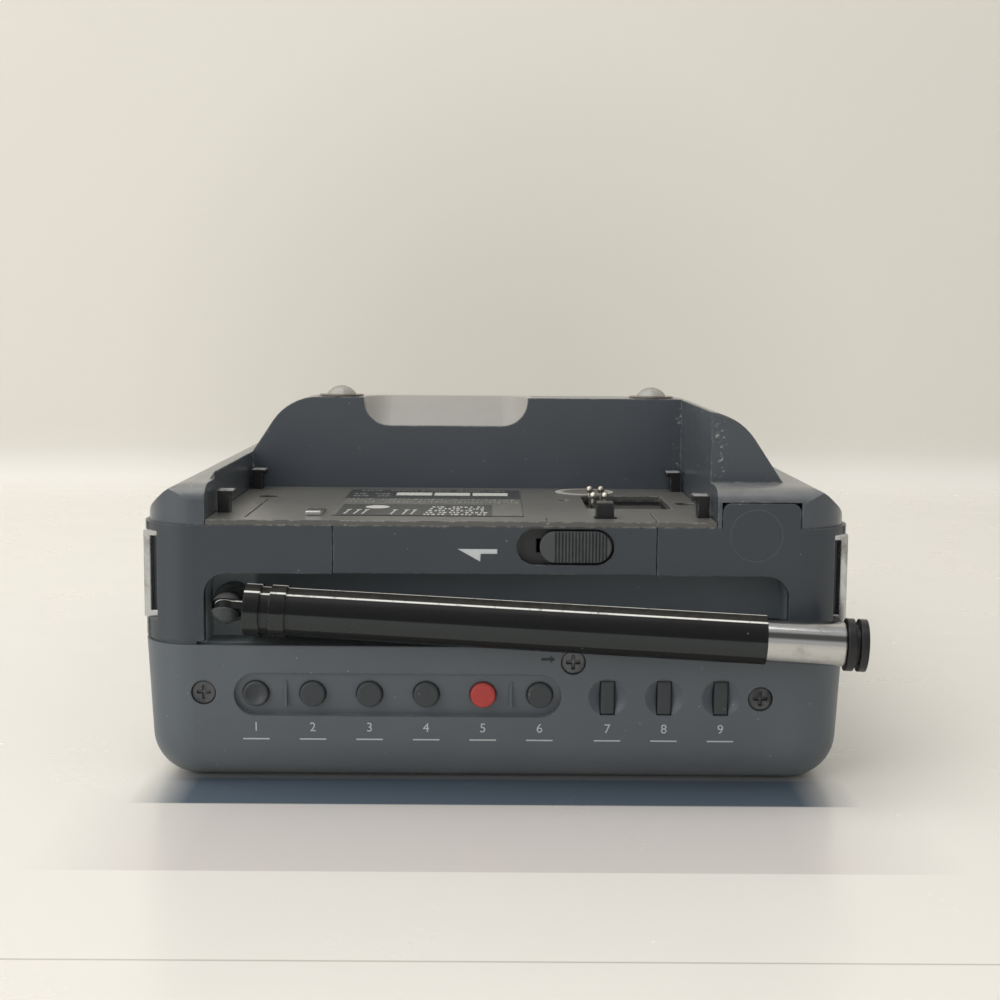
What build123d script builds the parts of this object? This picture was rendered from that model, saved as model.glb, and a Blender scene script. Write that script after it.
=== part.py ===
from build123d import *
import os
from math import cos, radians, sin, tan

# A portable video cassette player with a flip-up screen, a top-loading cassette bay,
# a battery bay at the rear and a telescopic antenna. All sizes are in millimetres.
# +X is to the right of someone who faces the rear face, +Y runs from the rear face to the
# front, and +Z is up. The origin is the middle of the footprint, at the table.

# The case as a whole
BODY_W = 129.0
BODY_D = 213.0
WALL = 2.2
PLAN_R = 10.0
ANTENNA_PROUD = 10.6
FIT = 0.15
RUN = 0.05

# Lower shell: a drafted tub with a rounded foot and a lip at the seam
BASE_TOP = 25.8
DRAFT = 3.0
FOOT_R = 8.5
LIP_H = 0.7
LIP_IN = 0.7

# Middle shell
SIDE_H = 21.1

# Top cover: low shoulders with a hump on them
SHOULDER_RISE = 7.2
SHOULDER_STEP = 0.8
SHOULDER_RUN = 9.0
SHOULDER_MID_IN = 2.5
SHOULDER_MID_UP = 4.4
SHOULDER_END = 5.0
SHOULDER_END_UP = 3.4
HUMP_RISE = 13.1
HUMP_FOOT_IN = 11.5
HUMP_CORNER_IN = 20.2
HUMP_R = 11.6
HUMP_REAR = 11.0
HUMP_FRONT_TOP_IN = 17.0
HUMP_FRONT_FOOT_IN = 5.5
HUMP_FRONT_R = 10.0
TOP_FALL = 3.0

# Battery bay and its platform
BAY_LEFT_IN = 12.4
BAY_RIGHT_IN = 24.9
BAY_D = 58.4
PLATFORM_T = 1.0
FRAME_W = 3.5
FRAME_H = 3.0
HOOK_W = 3.0
HOOK_H = 4.3
HOOK_CAP = 1.1
HOOK_IN = 1.7
HOOK_LEFT_T = 11.8
HOOK_RIGHT_T = 8.4
HOOK_BACK_IN = 4.0
HOOK_LEAN = 0.4
HOOK_STEM_SHARE = 0.72
HOOK_EDGE_R = 0.3
PEG_W = 3.2
PEG_IN = 19.8
PEG_T = 6.7
PEG_UP = 3.0
PEG_EDGE_R = 0.4
PEG_LENGTH = 7.6
CONTACT_IN = 14.1
CONTACT_BACK_IN = 26.0
CONTACT_W = 16.4
CONTACT_L = 23.2
CONTACT_DEEP = 1.0
CONTACT_BLOCK_H = 2.2
CONTACT_FLANGE = 2.0
PIN_COLUMNS = (-6.4, -4.1)
PIN_ROWS = (-2.9, 9.1)
PIN_R = 0.42
PIN_TIP_R = 0.72
PIN_UP = 2.3
LABEL_IN = 21.9
LABEL_W = 35.2
LABEL_T = 7.0
LABEL_BACK_IN = 6.4
SKIN_T = 0.15
DOWEL_LEFT = (6.0, 39.2, 2.1)
DOWELS_RIGHT = [(26.0, 35.3, 1.0), (2.2, 30.0, 2.1)]
GROOVE_LEFT = (6.7, 4.8, 34.0)
GROOVES_RIGHT = [(30.5, 0.0, 6.0), (10.8, 0.0, 14.5)]
GROOVE_W = 0.35

# Rear panel with the battery release
PANEL_LEFT_IN = 22.9
PANEL_RIGHT_IN = 10.9
PANEL_PAD = 1.2
RELEASE_SIDE = 7.4
RELEASE_DOWN = 3.55
RELEASE_W = 17.4
RELEASE_H = 6.5
RELEASE_DEEP = 2.0
RELEASE_EDGE = 0.8
RELEASE_KNOB_W = 12.8
RELEASE_KNOB_H = 5.6
RELEASE_PROUD = 0.5
RELEASE_TRAVEL = 3.6
RIB_PITCH = 0.6
RIB_COUNT = 16
RIB_DEEP = 0.3
KEEPER_T = 1.0
KEEPER_SHARE = 0.6
TAB_LEFT_IN = 24.0
TAB_RIGHT_IN = 10.0
TAB_UP = 4.5
TAB_T = 5.0
TAB_R = 1.6

# Antenna bay and antenna
ANT_LEFT_IN = 12.1
ANT_RIGHT_IN = 11.8
ANT_H = 13.1
ANT_DEEP = 9.5
ANT_R = 4.0
ANT_WALL = 1.4
PIVOT_IN = 4.0
PIVOT_T = 0.5
PIVOT_UP = 6.7
ROD_OUT = 3.3
ROD_DOWN = 2.4
ROD_RISE = 33.0
BALL_R = 2.8
TONGUE_R = 2.2
TONGUE_W = 1.5
KNUCKLE_PIN_R = 0.6
KNUCKLE_STEM_R = 2.2
KNUCKLE_BOSS_R = 3.5
PIN_SHARE = 0.85
KNUCKLE_BOSS_T = 6.2
NECK_R = 1.9
COLLAR_R = 4.75
COLLAR_START = 3.7
COLLAR_END = 11.2
SLEEVE_R = 4.4
SLEEVE_SHORT = 13.7
TUBE_RADII = [3.93, 3.28, 2.65]
TUBE_WALL = 0.55
TUBE_PAST_BAY = 9.0
TUBE_STEP = 2.0
SLEEVE_PLUG = 12.0
TIP_R = 4.65
TIP_GROOVE_R = 3.5
TIP_LENGTH = 3.6
TIP_GAP = 0.2
RING_SHARE = 0.38
COLLAR_GROOVE = 0.4

# Rear keys
TIMER_X0 = -43.3
TIMER_PITCH = 10.28
TIMER_COUNT = 6
TIMER_DOWN = 9.0
TIMER_R = 2.3
TIMER_FACE = 0.2
TIMER_RECESS_END = 3.9
TIMER_RECESS_H = 7.9
TIMER_RECESS_T = 1.32
TIMER_RECESS_TILT = 9.0
TIMER_RIBS = [5.4, 46.2]
TIMER_RIB_W = 0.5
TIMER_RIB_H = 4.8
TIMER_RIB_SINK = 0.6
TIMER_DISH_R = 2.9
TIMER_DISH_DEEP = 0.7
TIMER_EDGE_R = 0.45
KEY_APART = 63.7
KEY_PITCH = 10.28
KEY_COUNT = 3
KEY_DOWN = 9.4
KEY_EDGE_R = 0.35
KEY_W = 2.5
KEY_H = 6.1
KEY_FACE = 0.75
KEY_DISH_R = 3.5
KEY_DISH_DEEP = 1.5
BUTTON_GAP = 0.12
BUTTON_FLANGE = 0.8
BUTTON_FLANGE_T = 0.7
BUTTON_STEM_R = 1.2
BUTTON_TRAVEL = 0.7
PLUNGER_T = 5.5
SWITCH_GAP = 0.2
SWITCH_W = 3.4

# Screws
SCREW_LEFT = (9.4, 8.8)
SCREW_RIGHT = (7.14, 9.4)
SCREW_MIDDLE = (14.1, 2.8)
SCREW_HEAD_R = 2.1
SCREW_HEAD_H = 0.8
SCREW_SINK = 1.2
SCREW_SHANK_R = 0.8
SCREW_LENGTH = 5.2
SCREW_BOSS_R = 1.35
CROSS_W = 0.55
POST_IN = 20.5
POST_START_IN = 6.0
POST_END_IN = 10.0
POST_R = 3.5
POST_TIP_R = 2.2
BASE_SCREW_R = 2.6
BASE_SHANK_R = 1.2
BASE_SCREW_L = 9.0

# Strap bars
STRAP_W = 3.1
STRAP_SINK = 0.2
STRAP_UP = 3.3
STRAP_DOWN = 1.5
STRAP_T = (6.0, 9.5)
STRAP_BAR = 1.25
STRAP_PLATE = 0.6
STRAP_EDGE_R = 0.5
STRAP_POCKET_T = 14.0
STRAP_PAD = 2.5

# Ledge, hinges, key deck and screen lid
LEDGE_D = 12.0
LEDGE_H = 9.4
BUMPER_IN = 10.8
BUMPER_BACK = 5.1
BUMPER_R = 4.75
BUMPER_H = 2.3
BUMPER_SEAT = 0.6
SCOOP_X = (-28.3, 6.7)
SCOOP_H = 6.7
SCOOP_CLEAR = 9.0
SCOOP_R = 5.5
SCOOP_RISE = 32.0
HINGE_GAP = 3.6
HINGE_R = 2.2
HINGE_PIN_R = 1.0
HINGE_IN = 14.1
HINGE_W = 6.0
HINGE_NOTCH = 5.0
HINGE_PIN_IN = 6.0
HINGE_SIDE = 0.3
LID_STACK = 9.3
DECK_T = 1.4
LID_GAP = 0.3
LID_END_IN = 81.0
LID_END_GAP = 0.4
BEZEL_T = 1.5
SCREEN_SIDE = 13.3
SCREEN_ENDS = 11.0
SCREEN_SHIFT = 1.0
LCD_ROOM = 0.7
LCD_EDGE = 2.5
LCD_H = 2.6
DOOR_SKIN = 2.0
DOOR_SHELF = 6.0
DOOR_RAIL = 1.5
DOOR_SHELF_PAST = 10.0
WINDOW_SIDE = 22.3
WINDOW_L = 22.0
WINDOW_SHIFT = 1.0
WINDOW_REBATE = 1.5
WINDOW_H = 1.0
SPRING_W = 16.0
SPRING_SPOTS = (-26.0, -16.0, 16.0)
SPRING_GAP = 0.1
CASSETTE_H = 15.0
SPRING_H = 0.5

# Deck under the lid
FUNCTION_SIDE = 15.0
FUNCTION_EDGE_R = 0.5
FUNCTION_PITCH = 12.6
FUNCTION_COUNT = 5
FUNCTION_IN = 10.0
FUNCTION_W = 10.4
FUNCTION_L = 6.4
FUNCTION_TRAVEL = 0.7
FUNCTION_SINK = 0.05
KEYBOARD_DOWN = 6.2
KEYBOARD_POST_IN = 2.0
KEYBOARD_POST_R = 1.5
KEYBOARD_T = 0.9
SPEAKER_SIDE = 19.0
SPEAKER_IN = 32.0
SPEAKER_R = 14.0
SPEAKER_H = 8.0
GRILLE_R = 12.0
GRILLE_H = 0.7
GRILLE_HOLE_R = 0.7
GRILLE_PITCH = 2.6

# Side controls, on the side walls
CONTROL_UP = 11.5
CONTROL_RIBS = 8
CONTROL_W = 15.0
CONTROL_H = 5.4
CONTROL_DEEP = 1.1
CONTROL_KNOB_W = 9.0
CONTROL_KNOB_H = 4.6
EJECT_IN = 53.0
POWER_IN = 63.0
VOLUME_T = 110.0
VOLUME_IN = 8.3
VOLUME_R = 8.8
VOLUME_H = 3.0
VOLUME_SHAFT_R = 1.5
VOLUME_SHAFT_UP = 1.0
VOLUME_BRACKET_W = 8.0
VOLUME_BRACKET_H = 4.0
VOLUME_TEETH = 40
VOLUME_TOOTH_R = 0.35
JACK_TS = [84.0, 96.0, 110.0]
JACK_RS = [1.8, 1.8, 2.8]
JACK_UP = 9.5
JACK_END = 1.0
JACK_BODY = 2.0
JACK_L = 12.0

# Deck mechanism
BOARD_Z = 8.0
BOARD_T = 1.6
CHASSIS_UP = 8.5
CHASSIS_T = 1.5
CHASSIS_IN = 14.5
CHASSIS_START_IN = 21.0
CHASSIS_END_IN = 7.0
DRUM_IN = 73.0
DRUM_EDGE_R = 0.8
DRUM_HOLE_R = 1.2
DRUM_HOLE_DEEP = 2.0
DRUM_HOLE_PITCH_R = 8.25
DRUM_R = 13.3
DRUM_BASE_H = 8.0
DRUM_TOP_H = 8.0
DRUM_GAP = 0.3
DRUM_SHAFT_R = 1.5
REEL_X = 23.0
REEL_IN = 41.0
REEL_R = 10.0
REEL_H = 2.2
SPINDLE_R = 3.4
SPINDLE_H = 10.5
SPINDLE_CAP = 1.0
SPINDLE_FIN_W = 1.0
SPINDLE_FIN = 0.9
AXLE_R = 1.0
CAPSTAN_X = 24.0
CAPSTAN_IN = 33.5
CAPSTAN_R = 1.5
CAPSTAN_H = 13.5
BEARING_R = 3.0
BEARING_DOWN = 0.5
BEARING_UP = 3.0
FLYWHEEL_R = 11.0
FLYWHEEL_H = 4.0
PULLEY_R = 5.5
PULLEY_DOWN = 3.5
PULLEY_H = 2.0
BELT_W = 1.0
TRAY_UP = 3.7
TRAY_CLEAR = 0.4
TRAY_T = 0.8
TRAY_REAR = 31.0
TRAY_FRONT = 33.0
TRAY_FOOT_IN = 4.0
TRAY_FOOT_R = 2.0
TRAY_SIDE = 4.4
TRAY_LIP_T = 4.0
TRAY_LIP_H = 3.2
TRAY_HOLE_R = 6.4
TIMER_BOARD_T = 1.6
TIMER_BOARD_RIB_IN = 4.0
TIMER_BOARD_RIB = 2.0
TIMER_BOARD_UP = 4.0
TIMER_BOARD_DOWN = 2.0
SWITCH_H = 2.0
TUNER_IN = 18.5
TUNER_W = 36.0
TUNER_T = 16.0
TUNER_CLEAR = 18.0
TUNER_TOP = 20.0
CHIPS = [(-20, 32, 18, 18, 2.2), (14, 42, 14, 20, 2.2), (-15, 82, 22, 10, 3.0), (22, 97, 12, 12, 8.0)]

# Where each of these lies, from the case outwards
HALF_W = BODY_W / 2
REAR_Y = -(BODY_D - ANTENNA_PROUD) / 2
FRONT_Y = REAR_Y + BODY_D
SEAM_Z = BASE_TOP + LIP_H
SIDE_TOP = SEAM_Z + SIDE_H
SHOULDER_TOP = SIDE_TOP + SHOULDER_RISE
HUMP_TOP = SHOULDER_TOP + HUMP_RISE
HUMP_FOOT = HALF_W - HUMP_FOOT_IN
HUMP_CORNER = HALF_W - HUMP_CORNER_IN
HUMP_FRONT_TOP = BODY_D - HUMP_FRONT_TOP_IN
HUMP_FRONT_FOOT = BODY_D - HUMP_FRONT_FOOT_IN
BAY_LEFT = -HALF_W + BAY_LEFT_IN
BAY_RIGHT = HALF_W - BAY_RIGHT_IN
PLATFORM_TOP = SIDE_TOP + PLATFORM_T
HOOK_SPOTS = [
    (BAY_LEFT + HOOK_IN, HOOK_LEFT_T),
    (BAY_LEFT + HOOK_IN, BAY_D - HOOK_BACK_IN),
    (BAY_RIGHT - HOOK_IN, HOOK_RIGHT_T),
    (BAY_RIGHT - HOOK_IN, BAY_D - HOOK_BACK_IN),
]
PEG_X = BAY_RIGHT - PEG_IN
PEG_TOP = PLATFORM_TOP + PEG_UP
CONTACT_X = BAY_RIGHT - CONTACT_IN
CONTACT_T = BAY_D - CONTACT_BACK_IN
PIN_SPOTS = [(CONTACT_X + column, CONTACT_T + row) for row in PIN_ROWS for column in PIN_COLUMNS]
PIN_TOP = PLATFORM_TOP + PIN_UP
LABEL_X = BAY_LEFT + LABEL_IN
DOWEL_HOLES = [(BAY_RIGHT - x, t, r) for x, t, r in DOWELS_RIGHT]
DOWEL_HOLES.append((BAY_LEFT + DOWEL_LEFT[0], *DOWEL_LEFT[1:]))
GROOVES = [(BAY_RIGHT - x, t, u) for x, t, u in GROOVES_RIGHT]
GROOVES.append((BAY_LEFT + GROOVE_LEFT[0], *GROOVE_LEFT[1:]))
PANEL_LEFT = BAY_LEFT + PANEL_LEFT_IN
PANEL_RIGHT = BAY_RIGHT - PANEL_RIGHT_IN
RELEASE_X = PEG_X - RELEASE_SIDE
RELEASE_Z = SIDE_TOP - RELEASE_DOWN
TAB_LEFT = HALF_W - TAB_LEFT_IN
TAB_RIGHT = HALF_W - TAB_RIGHT_IN
TAB_TOP = SIDE_TOP + TAB_UP
ANT_LEFT = -HALF_W + ANT_LEFT_IN
ANT_RIGHT = HALF_W - ANT_RIGHT_IN
ANT_TOP = BASE_TOP + ANT_H
PIVOT_X = ANT_LEFT + PIVOT_IN
PIVOT_Z = BASE_TOP + PIVOT_UP
TUBE_END = ANT_RIGHT - PIVOT_X + TUBE_PAST_BAY
SLEEVE_END = TUBE_END - SLEEVE_SHORT
TIMER_Z = BASE_TOP - TIMER_DOWN
TIMER_ROW = (TIMER_COUNT - 1) * TIMER_PITCH
TIMER_RECESS_W = TIMER_ROW + 2 * TIMER_RECESS_END
TIMER_RECESS_X = TIMER_X0 + TIMER_ROW / 2
KEY_X0 = TIMER_X0 + KEY_APART
KEY_Z = BASE_TOP - KEY_DOWN
KEY_END = KEY_X0 + (KEY_COUNT - 1) * KEY_PITCH
REAR_SCREWS = [
    (TIMER_X0 - SCREW_LEFT[0], BASE_TOP - SCREW_LEFT[1]),
    (KEY_END + SCREW_RIGHT[0], BASE_TOP - SCREW_RIGHT[1]),
    (SCREW_MIDDLE[0], BASE_TOP - SCREW_MIDDLE[1]),
]
STRAP_OUT = HALF_W - STRAP_SINK
STRAP_IN = STRAP_OUT - STRAP_W
STRAP_BOTTOM = SEAM_Z + STRAP_UP
STRAP_TOP = SIDE_TOP - STRAP_DOWN
LEDGE_FLOOR = HUMP_TOP - LEDGE_H
SCOOP_Z = HUMP_TOP - SCOOP_H
BUMPER_X = HUMP_CORNER - BUMPER_IN
BUMPER_T = BAY_D + BUMPER_BACK
HINGE_X = HUMP_CORNER - HINGE_IN
LID_WALL_T = BAY_D + LEDGE_D
LID_AXIS_T = LID_WALL_T + HINGE_GAP
LID_END = BODY_D - LID_END_IN
BRIDGE_T = LID_END + LID_END_GAP
DOOR_WALL_T = BRIDGE_T + WALL
DOOR_AXIS_T = DOOR_WALL_T + HINGE_GAP
DECK_Z = HUMP_TOP - LID_STACK
LID_Z = DECK_Z + LID_GAP
SCREEN_W = 2 * (HUMP_CORNER - SCREEN_SIDE)
SCREEN_L = LID_END - LID_AXIS_T - SCREEN_ENDS
SCREEN_T = (LID_AXIS_T + LID_END) / 2 + SCREEN_SHIFT
FUNCTION_X0 = -HUMP_FOOT + FUNCTION_SIDE
FUNCTION_T = LID_END - FUNCTION_IN
KEYBOARD_Z = DECK_Z - KEYBOARD_DOWN
SPEAKER_X = HUMP_FOOT - SPEAKER_SIDE
SPEAKER_T = LID_END - SPEAKER_IN
CONTROL_Z = SEAM_Z + CONTROL_UP
JACK_Z = SEAM_Z + JACK_UP
EJECT_T = BODY_D - EJECT_IN
POWER_T = BODY_D - POWER_IN
VOLUME_X = HALF_W - VOLUME_IN
REEL_T = BODY_D - REEL_IN
CAPSTAN_T = REEL_T - CAPSTAN_IN
DRUM_T = REEL_T - DRUM_IN
IDLER_R = REEL_X - REEL_R - RUN
CHASSIS_Z = SEAM_Z + CHASSIS_UP
CHASSIS_TOP = CHASSIS_Z + CHASSIS_T
CHASSIS_W = 2 * (HALF_W - CHASSIS_IN)
CHASSIS_TS = (DRUM_T - CHASSIS_START_IN, BODY_D - CHASSIS_END_IN)
POST_X = HALF_W - POST_IN
POST_TS = (CHASSIS_TS[0] + POST_START_IN, CHASSIS_TS[1] - POST_END_IN)
SPINDLE_TOP = CHASSIS_TOP + SPINDLE_H
CAPSTAN_TOP = CHASSIS_TOP + CAPSTAN_H
PULLEY_Z = CHASSIS_Z - PULLEY_DOWN
TRAY_Z = CHASSIS_TOP + TRAY_UP
TRAY_TOP = DECK_Z - DECK_T - TRAY_CLEAR
TRAY_LIP_TOP = TRAY_TOP - TRAY_LIP_H
TRAY_TS = (REEL_T - TRAY_REAR, REEL_T + TRAY_FRONT)
TRAY_HALF = HUMP_FOOT - TRAY_SIDE
WINDOW_W = 2 * (HUMP_CORNER - WINDOW_SIDE)
WINDOW_T = REEL_T - WINDOW_SHIFT
SPRING_T = [REEL_T + spot for spot in SPRING_SPOTS]
SPRING_LOW = TRAY_Z + TRAY_T + CASSETTE_H + SPRING_GAP
SWITCH_FACE = PLUNGER_T + BUTTON_TRAVEL + SWITCH_GAP
TIMER_BOARD_FACE = SWITCH_FACE + SWITCH_H
TIMER_BOARD_X = HALF_W - CHASSIS_IN
TIMER_BOARD_Z = (TIMER_BOARD_UP, BASE_TOP - TIMER_BOARD_DOWN)
TUNER_X = -HALF_W + TUNER_IN
TUNER_TS = (TUNER_T, CHASSIS_TS[0] - TUNER_CLEAR)

os.makedirs("parts", exist_ok=True)


def rear(depth):
    """The Y of a point this far in from the rear face."""
    return REAR_Y + depth


def save(piece, name):
    """Labels a finished piece and writes it."""
    body = piece.part if isinstance(piece, BuildPart) else piece
    body.label = name
    export_step(body, f"parts/{name}.step")


def block(low, high, mode=Mode.ADD):
    """A plain block between two opposite corners."""
    with Locations(tuple((a + b) / 2 for a, b in zip(low, high))):
        Box(*[b - a for a, b in zip(low, high)], mode=mode)


def disc(x, y, low, high, radius, mode=Mode.ADD):
    """A cylinder that stands upright."""
    with Locations((x, y, (low + high) / 2)):
        Cylinder(radius, high - low, mode=mode)


def disc_y(x, z, near, far, radius, mode=Mode.ADD):
    """A cylinder that runs from the rear face towards the front."""
    with Locations(Location((x, (near + far) / 2, z), (90, 0, 0))):
        Cylinder(radius, far - near, mode=mode)


def disc_x(y, z, left, right, radius, mode=Mode.ADD):
    """A cylinder that runs across the case."""
    with Locations(Location(((left + right) / 2, y, z), (0, 90, 0))):
        Cylinder(radius, right - left, mode=mode)


def face_depth(z):
    """How far the drafted rear face of the lower shell lies in from the case's edge."""
    return (BASE_TOP - z) * tan(radians(DRAFT))


def plan(inset):
    """The outline of the case seen from above."""
    with Locations((0, (REAR_Y + FRONT_Y) / 2)):
        RectangleRounded(BODY_W - 2 * inset, BODY_D - 2 * inset, PLAN_R - inset)


def tub(top, floor, inset):
    """A block with the case's outline at its top, drafted sides and a rounded foot."""
    with BuildPart() as piece:
        with BuildSketch(-Plane.XY.offset(top)):
            with Locations((0, -(REAR_Y + FRONT_Y) / 2)):
                RectangleRounded(BODY_W - 2 * inset, BODY_D - 2 * inset, PLAN_R - inset)
        extrude(amount=top - floor, taper=DRAFT)
        fillet(piece.faces().sort_by(Axis.Z)[0].edges(), FOOT_R - inset)
    return piece.part


def shoulder_body(inset):
    """The low part of the top cover, rounded at its sides and at both ends."""
    half = HALF_W - SHOULDER_STEP - inset
    top = SHOULDER_TOP - inset
    flat = HALF_W - SHOULDER_RUN
    foot = SIDE_TOP - 2 * WALL
    mid = (half - SHOULDER_MID_IN + 0.3 * inset, SIDE_TOP + SHOULDER_MID_UP - 0.7 * inset)
    ends = [REAR_Y + inset, FRONT_Y - inset]
    low = SIDE_TOP + SHOULDER_END_UP - inset
    with BuildPart() as piece:
        with BuildSketch(Plane.XZ.offset(-FRONT_Y)):
            with BuildLine():
                Line((half, foot), (half, SIDE_TOP))
                Spline((half, SIDE_TOP), mid, (flat, top), tangents=[(0, 1), (-1, 0)])
                Line((flat, top), (-flat, top))
                Spline((-flat, top), (-mid[0], mid[1]), (-half, SIDE_TOP), tangents=[(-1, 0), (0, -1)])
                Polyline((-half, SIDE_TOP), (-half, foot), (half, foot))
            make_face()
        extrude(amount=BODY_D)
        with BuildSketch(Plane.XY.offset(foot)):
            with Locations((0, (REAR_Y + FRONT_Y) / 2)):
                RectangleRounded(2 * half, BODY_D - 2 * inset, PLAN_R - inset)
        extrude(amount=BODY_W, mode=Mode.INTERSECT)
        with BuildSketch(Plane.YZ.offset(-HALF_W)):
            with BuildLine():
                Line((ends[0], foot), (ends[0], low))
                Spline((ends[0], low), (ends[0] + SHOULDER_END, top), tangents=[(0, 1), (1, 0)])
                Line((ends[0] + SHOULDER_END, top), (ends[1] - SHOULDER_END, top))
                Spline((ends[1] - SHOULDER_END, top), (ends[1], low), tangents=[(1, 0), (0, -1)])
                Polyline((ends[1], low), (ends[1], foot), (ends[0], foot))
            make_face()
        extrude(amount=BODY_W, mode=Mode.INTERSECT)
    return piece.part


def top_at(t):
    """The height of the hump's top, level over the ledge and falling towards the front."""
    return HUMP_TOP - max(0, t - LID_WALL_T) * tan(radians(TOP_FALL))


def top_plane(t):
    """A plane in the hump's falling top, with its origin on the middle line."""
    return Plane(
        origin=(0, rear(t), top_at(t)),
        x_dir=(1, 0, 0),
        z_dir=(0, sin(radians(TOP_FALL)), cos(radians(TOP_FALL))),
    )


def hinge_z(axis_t):
    """The height of a lid's hinge axis, with its barrel flush with the top."""
    return top_at(axis_t) - HINGE_R


def hump_section(t, inset, foot):
    """The hump's cross-section at a distance from the rear face."""
    top = top_at(t) - inset
    lean = (HUMP_FOOT - HUMP_CORNER) / (HUMP_TOP - SHOULDER_TOP)
    in_by = inset * (1 + lean**2) ** 0.5
    half_top = HUMP_FOOT - in_by - lean * (top - SHOULDER_TOP)
    half_foot = HUMP_FOOT - in_by - lean * (foot - SHOULDER_TOP)
    with BuildSketch(Plane.XZ.offset(-rear(t))) as across:
        with BuildLine():
            Polyline((-half_foot, foot), (-half_top, top), (half_top, top), (half_foot, foot), close=True)
        make_face()
        fillet(across.vertices().group_by(Axis.Y)[-1], HUMP_R - inset)
    return across.sketch


def hump_body(inset):
    """The high part of the top cover: sloping sides, a top that falls to a rounded front."""
    foot = SIDE_TOP - 2 * WALL
    fall = tan(radians(TOP_FALL))
    front_lean = (HUMP_FRONT_FOOT - HUMP_FRONT_TOP) / (HUMP_TOP - SHOULDER_TOP)
    front_rise = HUMP_TOP - inset - SHOULDER_TOP
    level_t = HUMP_FRONT_FOOT - inset * (1 + front_lean**2) ** 0.5 - front_lean * front_rise
    front_top = (level_t - front_lean * fall * LID_WALL_T) / (1 - front_lean * fall)
    front_foot = level_t + front_lean * (HUMP_TOP - inset - foot)
    with BuildPart() as piece:
        extrude(hump_section(LID_WALL_T, inset, foot), amount=LID_WALL_T)
        loft([hump_section(t, inset, foot) for t in (LID_WALL_T, BODY_D)], ruled=True)
        with BuildSketch(Plane.YZ.offset(-BODY_W)) as side:
            with BuildLine():
                Polyline(
                    (rear(HUMP_REAR + inset), foot),
                    (rear(HUMP_REAR + inset), HUMP_TOP - inset),
                    (rear(LID_WALL_T), HUMP_TOP - inset),
                    (rear(front_top), top_at(front_top) - inset),
                    (rear(front_foot), foot),
                    close=True,
                )
            make_face()
            fillet(side.vertices().sort_by(Axis.X)[3], HUMP_FRONT_R - inset)
        extrude(amount=2 * BODY_W, mode=Mode.INTERSECT)
    return piece.part


def knuckles(wall_t):
    """Two hinge knuckles that stand out from a wall of the top cover."""
    axis_t = wall_t + HINGE_GAP
    height = hinge_z(axis_t)
    for side in (-1, 1):
        left, right = sorted((side * (HINGE_X + HINGE_SIDE), side * (HINGE_X + HINGE_W)))
        block((left, rear(wall_t - 1), height - HINGE_R), (right, rear(axis_t), height + HINGE_R))
        disc_x(rear(axis_t), height, left, right, HINGE_R)
        disc_x(rear(axis_t), height, left - 1, right + 1, HINGE_PIN_R, Mode.SUBTRACT)


def hinge_edge(axis_t):
    """The hinged edge of a lid: a barrel between two notches for the knuckles."""
    height = hinge_z(axis_t)
    disc_x(rear(axis_t), height, -HINGE_X, HINGE_X, HINGE_R)
    for side in (-1, 1):
        left, right = sorted((side * HINGE_X, side * (HINGE_X + HINGE_W + HINGE_SIDE)))
        block(
            (left, rear(axis_t - HINGE_NOTCH), height - HINGE_R - HINGE_SIDE),
            (right, rear(axis_t + HINGE_NOTCH), HUMP_TOP + 1),
            Mode.SUBTRACT,
        )
        near, far = sorted((side * (HINGE_X - HINGE_PIN_IN - HINGE_SIDE), side * (HINGE_X + 1)))
        disc_x(rear(axis_t), height, near, far, HINGE_PIN_R + RUN, Mode.SUBTRACT)


def antenna_pocket(depth):
    """The antenna's opening, cut to a depth behind the rear face."""
    with BuildSketch(Plane.XZ.offset(-REAR_Y)) as mouth:
        with Locations(((ANT_LEFT + ANT_RIGHT) / 2, (ANT_TOP + BASE_TOP - ANT_R) / 2)):
            RectangleRounded(ANT_RIGHT - ANT_LEFT, ANT_TOP - BASE_TOP + ANT_R, ANT_R)
    extrude(mouth.sketch, amount=-depth, mode=Mode.SUBTRACT)


def slide_recess(face, length, height, deep, wall, knob_w, travel):
    """A stadium recess in a wall, with a slot for the stem of a sliding knob."""
    with BuildSketch(face) as opening:
        SlotOverall(length, height)
    extrude(opening.sketch, amount=-deep, mode=Mode.SUBTRACT)
    with BuildSketch(face) as slot:
        Rectangle(knob_w / 2 + travel + 2 * FIT, height / 3 + 2 * FIT)
    extrude(slot.sketch, amount=-(wall + 1), mode=Mode.SUBTRACT)


def slide_knob(face, height, deep, wall, knob_w, knob_h, travel, proud, ribs):
    """A ribbed knob at one end of its recess, with a stem through the wall and a keeper."""
    at_rest = Plane(origin=face.origin + face.x_dir * (travel / 2), x_dir=face.x_dir, z_dir=face.z_dir)
    with BuildPart() as knob:
        with BuildSketch(at_rest.offset(FIT - deep)):
            SlotOverall(knob_w, knob_h)
        extrude(amount=deep - FIT + proud)
        with BuildSketch(at_rest.offset(-(wall + FIT))):
            Rectangle(knob_w / 2, height / 3)
        extrude(amount=wall - deep + 2 * FIT)
        with BuildSketch(at_rest.offset(-(wall + FIT))):
            Rectangle(knob_w / 2, height * KEEPER_SHARE)
        extrude(amount=-KEEPER_T)
        with BuildSketch(at_rest.offset(proud)):
            with Locations(((knob_w - knob_h - ribs * RIB_PITCH) / 2 + knob_h / 2 - RIB_PITCH, 0)):
                with GridLocations(RIB_PITCH, 0, ribs, 1):
                    Rectangle(RIB_PITCH / 2, knob_h)
        extrude(amount=-RIB_DEEP, mode=Mode.SUBTRACT)
    return knob


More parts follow.
